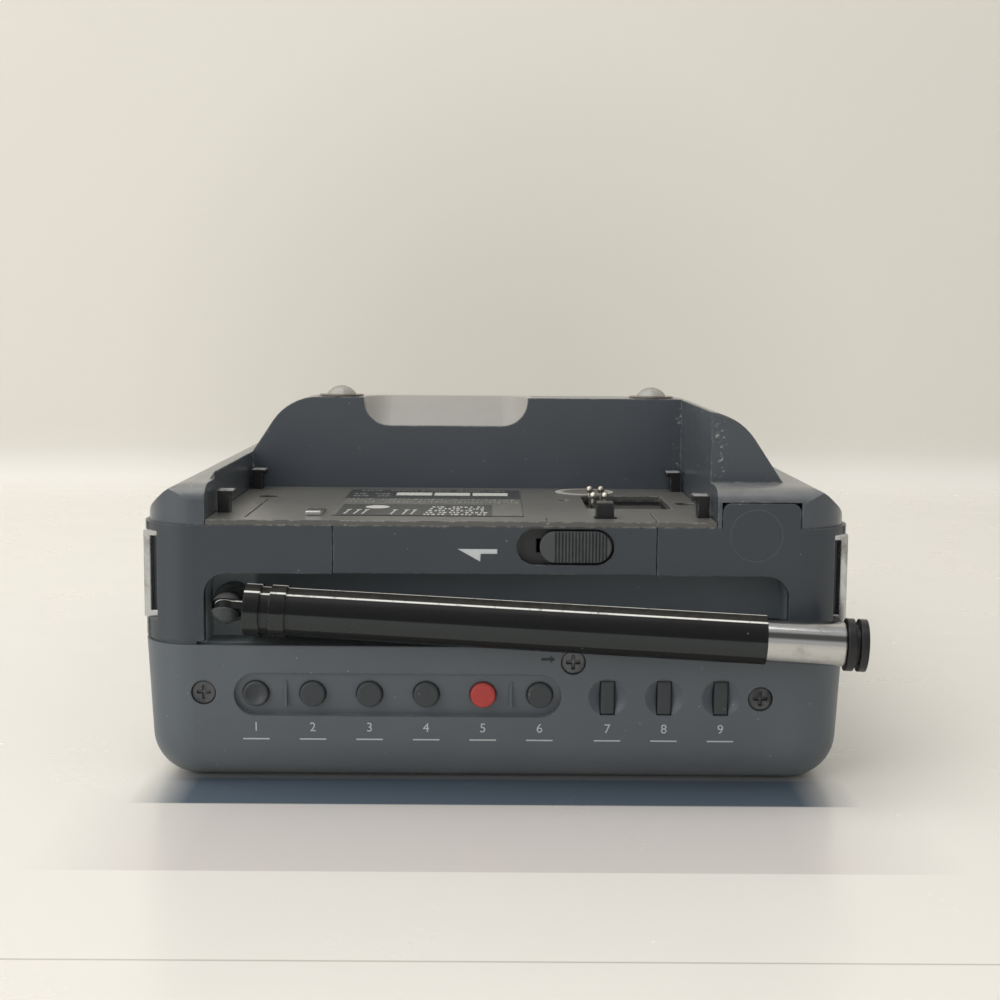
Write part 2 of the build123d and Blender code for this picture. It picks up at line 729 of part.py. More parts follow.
def button_hole(x, z, width, height):
    """A hole through the rear wall of the lower shell, round where no height is given."""
    if height:
        block((x - width, rear(-1), z - height), (x + width, rear(2 * WALL), z + height), Mode.SUBTRACT)
    else:
        disc_y(x, z, rear(-1), rear(2 * WALL), width, Mode.SUBTRACT)


def cross_recess(x, y, z, reach, along):
    """The cross-shaped recess in a screw's head."""
    long, short = reach, CROSS_W / 2
    for a, b in ((long, short), (short, long)):
        if along == "y":
            block((x - a, y - reach, z - b), (x + a, y + CROSS_W, z + b), Mode.SUBTRACT)
        else:
            block((x - a, y - b, z - reach), (x + a, y + b, z + CROSS_W), Mode.SUBTRACT)


timer_xs = [TIMER_X0 + i * TIMER_PITCH for i in range(TIMER_COUNT)]
key_xs = [KEY_X0 + i * KEY_PITCH for i in range(KEY_COUNT)]
function_xs = [FUNCTION_X0 + i * FUNCTION_PITCH for i in range(FUNCTION_COUNT)]
posts = [(x, rear(t)) for x in (-POST_X, POST_X) for t in POST_TS]
release_face = Plane(origin=(RELEASE_X, REAR_Y, RELEASE_Z), x_dir=(1, 0, 0), z_dir=(0, -1, 0))
eject_face = Plane(origin=(HALF_W, rear(EJECT_T), CONTROL_Z), x_dir=(0, 1, 0), z_dir=(1, 0, 0))
power_face = Plane(origin=(-HALF_W, rear(POWER_T), CONTROL_Z), x_dir=(0, -1, 0), z_dir=(-1, 0, 0))
jack_spots = list(zip([rear(t) for t in JACK_TS], JACK_RS))

# Lower shell: tub, lip, posts for the board and the deck, and the holes for the rear keys
with BuildPart() as lower_shell:
    add(tub(BASE_TOP, 0, 0))
    with BuildSketch(Plane.XY.offset(BASE_TOP)):
        plan(LIP_IN)
    extrude(amount=LIP_H)
    add(tub(SEAM_Z, WALL, WALL), mode=Mode.SUBTRACT)
    block(
        (ANT_LEFT - ANT_WALL, rear(-1), BASE_TOP),
        (ANT_RIGHT + ANT_WALL, rear(ANT_DEEP), SEAM_Z + 1),
        Mode.SUBTRACT,
    )
    for x, y in posts:
        disc(x, y, WALL / 2, BOARD_Z, POST_R)
        disc(x, y, WALL / 2, CHASSIS_Z, POST_TIP_R)
        disc(x, y, -1, SCREW_SINK + SCREW_HEAD_H, BASE_SCREW_R + FIT, Mode.SUBTRACT)
        disc(x, y, -1, SCREW_SINK + SCREW_HEAD_H + BASE_SCREW_L, BASE_SHANK_R, Mode.SUBTRACT)
    block(
        (-TIMER_BOARD_X, rear(TIMER_BOARD_FACE - 1), WALL / 2),
        (TIMER_BOARD_X, rear(TIMER_BOARD_FACE + TIMER_BOARD_T + 1), TIMER_BOARD_Z[0]),
    )
    for x in (-TIMER_BOARD_X + TIMER_BOARD_RIB_IN, 0, TIMER_BOARD_X - TIMER_BOARD_RIB_IN):
        block(
            (x - TIMER_BOARD_RIB / 2, rear(TIMER_BOARD_FACE + TIMER_BOARD_T), WALL / 2),
            (
                x + TIMER_BOARD_RIB / 2,
                rear(TIMER_BOARD_FACE + TIMER_BOARD_T + TIMER_BOARD_RIB),
                TIMER_BOARD_Z[1] - TIMER_BOARD_RIB_IN,
            ),
        )
    for x, z in REAR_SCREWS:
        disc_y(x, z, rear(WALL), rear(SCREW_SINK + SCREW_LENGTH), SCREW_BOSS_R)
        disc_y(x, z, rear(-1), rear(face_depth(z) + SCREW_SINK), SCREW_HEAD_R + FIT, Mode.SUBTRACT)
        disc_y(x, z, rear(-1), rear(SCREW_SINK + SCREW_LENGTH), SCREW_SHANK_R, Mode.SUBTRACT)
    recess_plane = Plane(
        origin=(TIMER_RECESS_X, rear(TIMER_RECESS_T), TIMER_Z),
        x_dir=(1, 0, 0),
        z_dir=(0, -cos(radians(TIMER_RECESS_TILT)), -sin(radians(TIMER_RECESS_TILT))),
    )
    with BuildSketch(recess_plane):
        SlotOverall(TIMER_RECESS_W, TIMER_RECESS_H)
    extrude(amount=2 * WALL, mode=Mode.SUBTRACT)
    for x in TIMER_RIBS:
        left = TIMER_X0 + x - TIMER_RIB_W / 2
        block(
            (left, rear(TIMER_FACE + TIMER_RIB_SINK), TIMER_Z - TIMER_RIB_H / 2),
            (left + TIMER_RIB_W, rear(WALL), TIMER_Z + TIMER_RIB_H / 2),
        )
    for x in timer_xs:
        button_hole(x, TIMER_Z, TIMER_R + BUTTON_GAP, 0)
    dish_ball = (KEY_DISH_R**2 + KEY_DISH_DEEP**2) / (2 * KEY_DISH_DEEP)
    for x in key_xs:
        with Locations((x, rear(face_depth(KEY_Z) + KEY_DISH_DEEP - dish_ball), KEY_Z)):
            Sphere(dish_ball, mode=Mode.SUBTRACT)
        button_hole(x, KEY_Z, KEY_W / 2 + BUTTON_GAP, KEY_H / 2 + BUTTON_GAP)
save(lower_shell, "lower_shell")

# Middle shell: a ring with the antenna bay hanging into it at the rear, a cut-out for the
# rear panel, a frame for the platform and pockets for the strap bars
with BuildPart() as middle_shell:
    with BuildSketch(Plane.XY.offset(SEAM_Z)):
        plan(0)
    extrude(amount=SIDE_TOP - SEAM_Z)
    with BuildSketch(Plane.XY.offset(SEAM_Z)):
        plan(WALL)
    extrude(amount=SIDE_TOP - SEAM_Z, mode=Mode.SUBTRACT)
    block(
        (BAY_LEFT - WALL, rear(WALL / 2), SIDE_TOP - FRAME_H),
        (BAY_RIGHT + WALL, rear(BAY_D + WALL), SIDE_TOP),
    )
    block(
        (BAY_LEFT + FRAME_W, rear(WALL), SIDE_TOP - FRAME_H - 1),
        (BAY_RIGHT - FRAME_W, rear(BAY_D - FRAME_W), SIDE_TOP + 1),
        Mode.SUBTRACT,
    )
    for side in (-1, 1):
        left, right = sorted((side * (STRAP_IN - STRAP_PAD), side * (HALF_W - WALL / 2)))
        block((left, rear(PLAN_R / 2), SEAM_Z), (right, rear(STRAP_POCKET_T + WALL), SIDE_TOP))
        left, right = sorted((side * STRAP_IN, side * (HALF_W + 1)))
        block((left, rear(-1), STRAP_BOTTOM), (right, rear(STRAP_POCKET_T), STRAP_TOP), Mode.SUBTRACT)
    with BuildSketch(Plane.XZ.offset(-REAR_Y)):
        with Locations(((TAB_LEFT + TAB_RIGHT) / 2, TAB_TOP / 2 + SIDE_TOP / 2 - WALL)):
            RectangleRounded(TAB_RIGHT - TAB_LEFT, TAB_TOP - SIDE_TOP + 2 * WALL, TAB_R)
    extrude(amount=-TAB_T)
    antenna_pocket(2 * WALL)
    block(
        (PANEL_LEFT - FIT, rear(-1), ANT_TOP),
        (PANEL_RIGHT + FIT, rear(WALL), SIDE_TOP + 1),
        Mode.SUBTRACT,
    )
    block(
        (RELEASE_X - RELEASE_W / 2 - 1, rear(WALL / 2), SIDE_TOP - FRAME_H - 1),
        (PANEL_RIGHT - 1, rear(PEG_T + PEG_W), SIDE_TOP + 1),
        Mode.SUBTRACT,
    )
    for face in (eject_face, power_face):
        slide_recess(
            face, CONTROL_W, CONTROL_H, CONTROL_DEEP, WALL, CONTROL_KNOB_W, CONTROL_W - CONTROL_KNOB_W
        )
    block(
        (HALF_W - 2 * WALL, rear(VOLUME_T - VOLUME_R), CONTROL_Z - VOLUME_H / 2 - 2 * FIT),
        (HALF_W + 1, rear(VOLUME_T + VOLUME_R), CONTROL_Z + VOLUME_H / 2 + 2 * FIT),
        Mode.SUBTRACT,
    )
    low = CONTROL_Z - VOLUME_H / 2 - FIT
    block(
        (VOLUME_X - VOLUME_BRACKET_W / 2, rear(VOLUME_T - VOLUME_BRACKET_W / 2), low - VOLUME_BRACKET_H),
        (HALF_W - WALL / 2, rear(VOLUME_T + VOLUME_BRACKET_W / 2), low),
    )
    disc(VOLUME_X, rear(VOLUME_T), low - FIT, CONTROL_Z + VOLUME_H / 2 + VOLUME_SHAFT_UP, VOLUME_SHAFT_R)
    for y, radius in jack_spots:
        disc_x(y, JACK_Z, -HALF_W - 1, -HALF_W + 2 * WALL, radius + JACK_BODY / 2, Mode.SUBTRACT)
save(middle_shell, "middle_shell")

# Antenna bay: a trough behind the window in the rear wall, seated against that wall
with BuildPart() as antenna_bay:
    block(
        (ANT_LEFT - ANT_WALL, rear(WALL + FIT), BASE_TOP - ANT_WALL),
        (ANT_RIGHT + ANT_WALL, rear(ANT_DEEP + ANT_WALL), ANT_TOP + ANT_WALL),
    )
    antenna_pocket(ANT_DEEP)
    block(
        (ANT_LEFT, rear(WALL + FIT), BASE_TOP - ANT_WALL),
        (ANT_RIGHT, rear(ANT_DEEP + ANT_WALL), BASE_TOP),
    )
save(antenna_bay, "antenna_bay")

# Rear panel: a plate between the seams, thicker behind the release slide
with BuildPart() as rear_panel:
    block((PANEL_LEFT, rear(0), ANT_TOP + FIT), (PANEL_RIGHT, rear(WALL), SIDE_TOP))
    block(
        (RELEASE_X - RELEASE_W / 2 - RELEASE_EDGE, rear(WALL), ANT_TOP + ANT_WALL + FIT),
        (RELEASE_X + RELEASE_W / 2 + RELEASE_EDGE, rear(WALL + PANEL_PAD), SIDE_TOP),
    )
    slide_recess(
        release_face, RELEASE_W, RELEASE_H, RELEASE_DEEP, WALL + PANEL_PAD, RELEASE_KNOB_W, RELEASE_TRAVEL
    )
save(rear_panel, "rear_panel")

# Release slide and the peg that it draws down
release_slide = slide_knob(
    release_face,
    RELEASE_H,
    RELEASE_DEEP,
    WALL + PANEL_PAD,
    RELEASE_KNOB_W,
    RELEASE_KNOB_H,
    RELEASE_TRAVEL,
    RELEASE_PROUD,
    RIB_COUNT,
)
save(release_slide, "release_slide")

with BuildPart() as lock_peg:
    block(
        (PEG_X - PEG_W / 2, rear(PEG_T - PEG_W / 2), PEG_TOP - PEG_LENGTH),
        (PEG_X + PEG_W / 2, rear(PEG_T + PEG_W / 2), PEG_TOP),
    )
    fillet(lock_peg.faces().sort_by(Axis.Z)[-1].edges(), PEG_EDGE_R)
save(lock_peg, "lock_peg")

# Battery platform: a plate with openings for the peg and the contacts
with BuildPart() as battery_platform:
    block((BAY_LEFT + FIT, rear(0), SIDE_TOP), (BAY_RIGHT - FIT, rear(BAY_D - FIT), PLATFORM_TOP))
    block(
        (PEG_X - PEG_W / 2 - 2 * FIT, rear(PEG_T - PEG_W / 2 - 2 * FIT), 0),
        (PEG_X + PEG_W / 2 + 4 * FIT, rear(PEG_T + PEG_W / 2 + 2 * FIT), PLATFORM_TOP + 1),
        Mode.SUBTRACT,
    )
    block(
        (CONTACT_X - CONTACT_W / 2, rear(CONTACT_T - CONTACT_L / 2), 0),
        (CONTACT_X + CONTACT_W / 2, rear(CONTACT_T + CONTACT_L / 2), PLATFORM_TOP + 1),
        Mode.SUBTRACT,
    )
    for x, t, radius in DOWEL_HOLES:
        disc(x, rear(t), 0, PLATFORM_TOP + 1, radius, Mode.SUBTRACT)
    for x, near, far in GROOVES:
        block(
            (x - GROOVE_W / 2, rear(near - 1), PLATFORM_TOP - GROOVE_W),
            (x + GROOVE_W / 2, rear(far), PLATFORM_TOP + 1),
            Mode.SUBTRACT,
        )
save(battery_platform, "battery_platform")

with BuildPart() as battery_hooks:
    for x, t in HOOK_SPOTS:
        lean = HOOK_LEAN if x < 0 else -HOOK_LEAN
        block(
            (x - HOOK_W * HOOK_STEM_SHARE / 2, rear(t - HOOK_W / 2), PLATFORM_TOP),
            (x + HOOK_W * HOOK_STEM_SHARE / 2, rear(t + HOOK_W / 2), PLATFORM_TOP + HOOK_H),
        )
        block(
            (x - HOOK_W / 2 + lean, rear(t - HOOK_W / 2), PLATFORM_TOP + HOOK_H - HOOK_CAP),
            (x + HOOK_W / 2 + lean, rear(t + HOOK_W / 2), PLATFORM_TOP + HOOK_H),
        )
    fillet(battery_hooks.faces().filter_by(Axis.Z).group_by(Axis.Z)[-1].edges(), HOOK_EDGE_R)
save(battery_hooks, "battery_hooks")

with BuildPart() as contact_block:
    block(
        (CONTACT_X - CONTACT_W / 2 - CONTACT_FLANGE, rear(CONTACT_T - CONTACT_L / 2 - CONTACT_FLANGE),
         SIDE_TOP - CONTACT_BLOCK_H),
        (CONTACT_X + CONTACT_W / 2 + CONTACT_FLANGE, rear(CONTACT_T + CONTACT_L / 2 + CONTACT_FLANGE), SIDE_TOP),
    )
    block(
        (CONTACT_X - CONTACT_W / 2, rear(CONTACT_T - CONTACT_L / 2), SIDE_TOP - CONTACT_DEEP),
        (CONTACT_X + CONTACT_W / 2, rear(CONTACT_T + CONTACT_L / 2), SIDE_TOP + 1),
        Mode.SUBTRACT,
    )
save(contact_block, "contact_block")

with BuildPart() as contact_pins:
    for x, t in PIN_SPOTS:
        disc(x, rear(t), SIDE_TOP - CONTACT_DEEP, PIN_TOP - PIN_TIP_R, PIN_R)
        with Locations((x, rear(t), PIN_TOP - PIN_TIP_R)):
            Sphere(PIN_TIP_R)
save(contact_pins, "contact_pins")

with BuildPart() as data_label:
    block(
        (LABEL_X, rear(LABEL_T), PLATFORM_TOP),
        (LABEL_X + LABEL_W, rear(BAY_D - LABEL_BACK_IN), PLATFORM_TOP + SKIN_T),
    )
save(data_label, "data_label")

# Strap bars: a bright loop in a pocket at each rear corner
with BuildPart() as strap_bars:
    for side in (-1, 1):
        left, right = sorted((side * STRAP_IN, side * STRAP_OUT))
        block((left, rear(STRAP_T[0]), STRAP_BOTTOM), (right, rear(STRAP_T[1]), STRAP_TOP))
    fillet(strap_bars.edges().filter_by(Axis.Y), STRAP_EDGE_R)
    for side in (-1, 1):
        left, right = sorted((side * (STRAP_IN + STRAP_PLATE), side * (STRAP_OUT - STRAP_BAR)))
        block(
            (left, rear(STRAP_T[0] - 1), STRAP_BOTTOM + STRAP_BAR),
            (right, rear(STRAP_T[1] + 1), STRAP_TOP - STRAP_BAR),
            Mode.SUBTRACT,
        )
save(strap_bars, "strap_bars")

# Top cover: shoulders and hump as one shell, cut for the battery bay, the screen lid and
# the cassette door
with BuildPart() as cover_hollow:
    add(shoulder_body(WALL))
    add(hump_body(WALL))
    block(
        (BAY_LEFT - WALL, rear(-1), 0),
        (BAY_RIGHT + WALL, rear(BAY_D + WALL), HUMP_TOP),
        Mode.SUBTRACT,
    )
    block((-HALF_W, rear(0), LEDGE_FLOOR), (HALF_W, rear(LID_WALL_T + WALL), HUMP_TOP), Mode.SUBTRACT)
    block((-HALF_W, rear(BRIDGE_T), SHOULDER_TOP), (HALF_W, rear(DOOR_WALL_T), HUMP_TOP), Mode.SUBTRACT)
    block(
        (TAB_LEFT - WALL, rear(0), 0),
        (TAB_RIGHT + WALL, rear(TAB_T + WALL), SHOULDER_TOP),
        Mode.SUBTRACT,
    )

with BuildPart() as top_cover:
    add(shoulder_body(0))
    add(hump_body(0))
    add(cover_hollow.part, mode=Mode.SUBTRACT)
    block((-HALF_W - 1, rear(-1), 0), (HALF_W + 1, rear(BODY_D + 1), SIDE_TOP), Mode.SUBTRACT)
    block(
        (BAY_LEFT, rear(-1), 0),
        (BAY_RIGHT, rear(BAY_D), HUMP_TOP + 1),
        Mode.SUBTRACT,
    )
    block(
        (-HALF_W, rear(LID_WALL_T), DECK_Z - DECK_T),
        (HALF_W, rear(BRIDGE_T), HUMP_TOP + 1),
        Mode.SUBTRACT,
    )
    block(
        (-HALF_W, rear(DOOR_WALL_T), DECK_Z),
        (HALF_W, rear(BODY_D), HUMP_TOP + 1),
        Mode.SUBTRACT,
    )
    block(
        (-HINGE_X - HINGE_W - DOOR_SHELF_PAST, rear(BRIDGE_T), DECK_Z - DECK_T),
        (HINGE_X + HINGE_W + DOOR_SHELF_PAST, rear(DOOR_WALL_T + DOOR_SHELF), DECK_Z),
    )
    block(
        (TAB_LEFT - FIT, rear(-1), 0),
        (TAB_RIGHT + FIT, rear(TAB_T + FIT), TAB_TOP + FIT),
        Mode.SUBTRACT,
    )
    with BuildSketch(Plane.XZ.offset(-rear(BAY_D - 1))) as scoop:
        with BuildLine():
            Polyline(
                (SCOOP_X[0], HUMP_TOP + SCOOP_CLEAR),
                (SCOOP_X[0], SCOOP_Z),
                (SCOOP_X[1], SCOOP_Z),
                (SCOOP_X[1], HUMP_TOP + SCOOP_CLEAR),
                close=True,
            )
        make_face()
        fillet(scoop.vertices().group_by(Axis.Y)[0], SCOOP_R)
    extrude(
        amount=2 * LEDGE_D,
        dir=(0, cos(radians(SCOOP_RISE)), sin(radians(SCOOP_RISE))),
        mode=Mode.SUBTRACT,
    )
    for side in (-1, 1):
        disc(
            side * BUMPER_X, rear(BUMPER_T), HUMP_TOP - BUMPER_SEAT, HUMP_TOP + 1, BUMPER_R + FIT, Mode.SUBTRACT
        )
    knuckles(LID_WALL_T)
    knuckles(DOOR_WALL_T)
save(top_cover.part.solids().sort_by(SortBy.VOLUME)[-1], "top_cover")

with BuildPart() as lid_bumpers:
    dome = (BUMPER_R**2 + BUMPER_H**2) / (2 * BUMPER_H)
    for side in (-1, 1):
        disc(side * BUMPER_X, rear(BUMPER_T), HUMP_TOP - BUMPER_SEAT, HUMP_TOP + BUMPER_H, BUMPER_R)
    with Locations(*[(side * BUMPER_X, rear(BUMPER_T), HUMP_TOP + BUMPER_H - dome) for side in (-1, 1)]):
        Sphere(dome, mode=Mode.INTERSECT)
save(lid_bumpers, "lid_bumpers")

# Hinge pins, tight in the knuckles of the cover and free in the lid and the door
with BuildPart() as hinge_pins:
    for axis_t in (LID_AXIS_T, DOOR_AXIS_T):
        for side in (-1, 1):
            left, right = sorted((side * (HINGE_X - HINGE_PIN_IN), side * (HINGE_X + HINGE_W)))
            disc_x(rear(axis_t), hinge_z(axis_t), left, right, HINGE_PIN_R)
save(hinge_pins, "hinge_pins")

# Screen lid: a slice of the hump over a frame that holds the panel
lcd_w = SCREEN_W + 2 * LCD_EDGE
lcd_l = SCREEN_L + 2 * LCD_EDGE
with BuildPart() as screen_lid:
    add(hump_body(0))
    block(
        (-HALF_W, rear(LID_AXIS_T), LID_Z + BEZEL_T),
        (HALF_W, rear(LID_END), HUMP_TOP + 1),
        Mode.INTERSECT,
    )
    block(
        (-lcd_w / 2 - LCD_ROOM, rear(SCREEN_T - lcd_l / 2 - LCD_ROOM), LID_Z),
        (lcd_w / 2 + LCD_ROOM, rear(SCREEN_T + lcd_l / 2 + LCD_ROOM), LID_Z + BEZEL_T + LCD_H + LCD_ROOM),
        Mode.SUBTRACT,
    )
    hinge_edge(LID_AXIS_T)
save(screen_lid, "screen_lid")

with BuildPart() as screen_bezel:
    add(hump_body(0))
    block(
        (-HALF_W, rear(LID_AXIS_T), LID_Z),
        (HALF_W, rear(LID_END), LID_Z + BEZEL_T),
        Mode.INTERSECT,
    )
    block(
        (-SCREEN_W / 2, rear(SCREEN_T - SCREEN_L / 2), LID_Z - 1),
        (SCREEN_W / 2, rear(SCREEN_T + SCREEN_L / 2), LID_Z + BEZEL_T + 1),
        Mode.SUBTRACT,
    )
save(screen_bezel, "screen_bezel")

with BuildPart() as lcd_panel:
    block(
        (-lcd_w / 2, rear(SCREEN_T - lcd_l / 2), LID_Z + BEZEL_T),
        (lcd_w / 2, rear(SCREEN_T + lcd_l / 2), LID_Z + BEZEL_T + LCD_H),
    )
save(lcd_panel, "lcd_panel")

# Cassette door: the front of the hump as a thin shell with a window and a pressing spring
with BuildPart() as cassette_door:
    add(hump_body(0))
    add(hump_body(DOOR_SKIN), mode=Mode.SUBTRACT)
    block(
        (-HALF_W, rear(DOOR_AXIS_T), DECK_Z + LID_GAP),
        (HALF_W, rear(BODY_D), HUMP_TOP + 1),
        Mode.INTERSECT,
    )
    rail_end = DOOR_AXIS_T + HINGE_NOTCH + DOOR_RAIL
    block(
        (-HINGE_X - HINGE_W - DOOR_SKIN, rear(DOOR_AXIS_T), hinge_z(DOOR_AXIS_T) - HINGE_R),
        (HINGE_X + HINGE_W + DOOR_SKIN, rear(rail_end), top_at(rail_end)),
    )
    hinge_edge(DOOR_AXIS_T)
    block(
        (-WINDOW_W / 2, rear(WINDOW_T - WINDOW_L / 2), LID_Z),
        (WINDOW_W / 2, rear(WINDOW_T + WINDOW_L / 2), HUMP_TOP + 1),
        Mode.SUBTRACT,
    )
    with BuildSketch(top_plane(WINDOW_T)):
        Rectangle(WINDOW_W + 2 * WINDOW_REBATE, WINDOW_L + 2 * WINDOW_REBATE)
    extrude(amount=-WINDOW_H, mode=Mode.SUBTRACT)
save(cassette_door, "cassette_door")

with BuildPart() as door_window:
    edge = WINDOW_REBATE - FIT
    with BuildSketch(top_plane(WINDOW_T)):
        Rectangle(WINDOW_W + 2 * edge, WINDOW_L + 2 * edge)
    extrude(amount=-WINDOW_H)
save(door_window, "door_window")

with BuildPart() as door_spring:
    fixed_end, bend, free_end = SPRING_T
    skin = [top_at(t) - DOOR_SKIN for t in (fixed_end, bend)]
    with BuildSketch(Plane.YZ.offset(-SPRING_W / 2)):
        with BuildLine():
            Polyline(
                (rear(fixed_end), skin[0]),
                (rear(bend), skin[1]),
                (rear(free_end), SPRING_LOW + SPRING_H),
                (rear(free_end), SPRING_LOW),
                (rear(bend), skin[1] - SPRING_H),
                (rear(fixed_end), skin[0] - SPRING_H),
                close=True,
            )
        make_face()
    extrude(amount=SPRING_W)
save(door_spring, "door_spring")

# Key deck under the lid, with the function keys, their board and the speaker
key_w = FUNCTION_W + 2 * FIT
key_l = FUNCTION_L + 2 * FIT
board_left = function_xs[0] - FUNCTION_W
board_right = function_xs[-1] + FUNCTION_W
with BuildPart() as key_deck:
    add(hump_body(0))
    block(
        (-HALF_W, rear(LID_WALL_T + FIT), DECK_Z - DECK_T),
        (HALF_W, rear(BRIDGE_T - FIT), DECK_Z),
        Mode.INTERSECT,
    )
    for x in function_xs:
        block(
            (x - key_w / 2, rear(FUNCTION_T - key_l / 2), DECK_Z - DECK_T - 1),
            (x + key_w / 2, rear(FUNCTION_T + key_l / 2), DECK_Z + 1),
            Mode.SUBTRACT,
        )
    disc(SPEAKER_X, rear(SPEAKER_T), DECK_Z - GRILLE_H, DECK_Z + 1, GRILLE_R + FIT, Mode.SUBTRACT)
    disc(SPEAKER_X, rear(SPEAKER_T), 0, DECK_Z, GRILLE_R - WALL / 2, Mode.SUBTRACT)
    for x in (board_left + KEYBOARD_POST_IN, board_right - KEYBOARD_POST_IN):
        disc(x, rear(FUNCTION_T), KEYBOARD_Z, DECK_Z - DECK_T, KEYBOARD_POST_R)
save(key_deck, "key_deck")

for number, x in enumerate(function_xs, 1):
    with BuildPart() as function_key:
        low = DECK_Z - DECK_T - LID_GAP
        block(
            (x - FUNCTION_W / 2, rear(FUNCTION_T - FUNCTION_L / 2), low),
            (x + FUNCTION_W / 2, rear(FUNCTION_T + FUNCTION_L / 2), DECK_Z - FUNCTION_SINK),
        )
        fillet(function_key.faces().sort_by(Axis.Z)[-1].edges(), FUNCTION_EDGE_R)
        half_w = FUNCTION_W / 2 + BUTTON_FLANGE
        half_l = FUNCTION_L / 2 + BUTTON_FLANGE
        block(
            (x - half_w, rear(FUNCTION_T - half_l), low - BUTTON_FLANGE),
            (x + half_w, rear(FUNCTION_T + half_l), low),
        )
        disc(x, rear(FUNCTION_T), KEYBOARD_Z + FUNCTION_TRAVEL + SWITCH_GAP, low, BUTTON_STEM_R)
    save(function_key, f"function_key_{number}")

with BuildPart() as key_board:
    block(
        (board_left, rear(FUNCTION_T - FUNCTION_L), KEYBOARD_Z - KEYBOARD_T),
        (board_right, rear(FUNCTION_T + FUNCTION_L), KEYBOARD_Z),
    )
save(key_board, "key_board")

with BuildPart() as speaker_grille:
    disc(SPEAKER_X, rear(SPEAKER_T), DECK_Z - GRILLE_H, DECK_Z, GRILLE_R)
    with Locations((SPEAKER_X, rear(SPEAKER_T), DECK_Z)):
        with HexLocations(GRILLE_PITCH / 2, 7, 7):
            Hole(GRILLE_HOLE_R, depth=GRILLE_H * 2)
save(speaker_grille, "speaker_grille")

with BuildPart() as speaker:
    top = DECK_Z - DECK_T
    disc(SPEAKER_X, rear(SPEAKER_T), top - 2, top, SPEAKER_R)
    with Locations((SPEAKER_X, rear(SPEAKER_T), top - 2 - (SPEAKER_H - 4) / 2)):
        Cone(SPEAKER_R * 0.5, SPEAKER_R - 1, SPEAKER_H - 4)
    disc(SPEAKER_X, rear(SPEAKER_T), top - SPEAKER_H, top - SPEAKER_H + 3, SPEAKER_R * 0.55)
    with Locations((SPEAKER_X, rear(SPEAKER_T), top)):
        Cone(GRILLE_R * 0.3, GRILLE_R - 2, 3, mode=Mode.SUBTRACT)
save(speaker, "speaker")

# Timer keys and the recessed keys beside them
for number, x in enumerate(timer_xs, 1):
    with BuildPart() as timer_button:
        inner = WALL + face_depth(TIMER_Z) + SWITCH_GAP
        disc_y(x, TIMER_Z, rear(TIMER_FACE), rear(inner), TIMER_R)
        fillet(timer_button.faces().sort_by(Axis.Y)[0].edges(), TIMER_EDGE_R)
        disc_y(x, TIMER_Z, rear(inner), rear(inner + BUTTON_FLANGE_T), TIMER_R + BUTTON_FLANGE)
        disc_y(x, TIMER_Z, rear(inner), rear(PLUNGER_T), BUTTON_STEM_R)
        if number == 1:
            with Locations((x, rear(TIMER_FACE + TIMER_DISH_DEEP - TIMER_DISH_R), TIMER_Z)):
                Sphere(TIMER_DISH_R, mode=Mode.SUBTRACT)
    save(timer_button, f"timer_button_{number}")

for number, x in enumerate(key_xs, 1):
    with BuildPart() as recessed_key:
        inner = WALL + face_depth(KEY_Z - KEY_H) + SWITCH_GAP
        block(
            (x - KEY_W / 2, rear(KEY_FACE), KEY_Z - KEY_H / 2),
            (x + KEY_W / 2, rear(inner), KEY_Z + KEY_H / 2),
        )
        fillet(recessed_key.faces().sort_by(Axis.Y)[0].edges(), KEY_EDGE_R)
        block(
            (x - KEY_W / 2 - BUTTON_FLANGE, rear(inner), KEY_Z - KEY_H / 2 - BUTTON_FLANGE),
            (
                x + KEY_W / 2 + BUTTON_FLANGE,
                rear(inner + BUTTON_FLANGE_T),
                KEY_Z + KEY_H / 2 + BUTTON_FLANGE,
            ),
        )
        disc_y(x, KEY_Z, rear(inner), rear(PLUNGER_T), BUTTON_STEM_R)
    save(recessed_key, f"recessed_key_{number}")

# The board behind the rear keys, with a switch behind each
with BuildPart() as timer_board:
    block(
        (-TIMER_BOARD_X, rear(TIMER_BOARD_FACE), TIMER_BOARD_Z[0]),
        (TIMER_BOARD_X, rear(TIMER_BOARD_FACE + TIMER_BOARD_T), TIMER_BOARD_Z[1]),
    )
    for x, z in [(x, TIMER_Z) for x in timer_xs] + [(x, KEY_Z) for x in key_xs]:
        block(
            (x - SWITCH_W / 2, rear(SWITCH_FACE), z - SWITCH_W / 2),
            (x + SWITCH_W / 2, rear(TIMER_BOARD_FACE), z + SWITCH_W / 2),
        )
save(timer_board, "timer_board")

# Case screws: three in the rear face and four in the base
with BuildPart() as case_screws:
    for x, z in REAR_SCREWS:
        seat = rear(face_depth(z) + SCREW_SINK)
        disc_y(x, z, seat - SCREW_HEAD_H, seat, SCREW_HEAD_R)
        disc_y(x, z, seat, rear(SCREW_LENGTH), SCREW_SHANK_R - RUN)
        cross_recess(x, seat - SCREW_HEAD_H, z, SCREW_HEAD_R * 0.6, "y")
    for x, y in posts:
        seat = SCREW_SINK + SCREW_HEAD_H
        disc(x, y, seat - SCREW_HEAD_H, seat, BASE_SCREW_R)
        disc(x, y, seat, BASE_SCREW_L, BASE_SHANK_R - RUN)
        cross_recess(x, y, seat - SCREW_HEAD_H, BASE_SCREW_R * 0.6, "z")
save(case_screws, "case_screws")

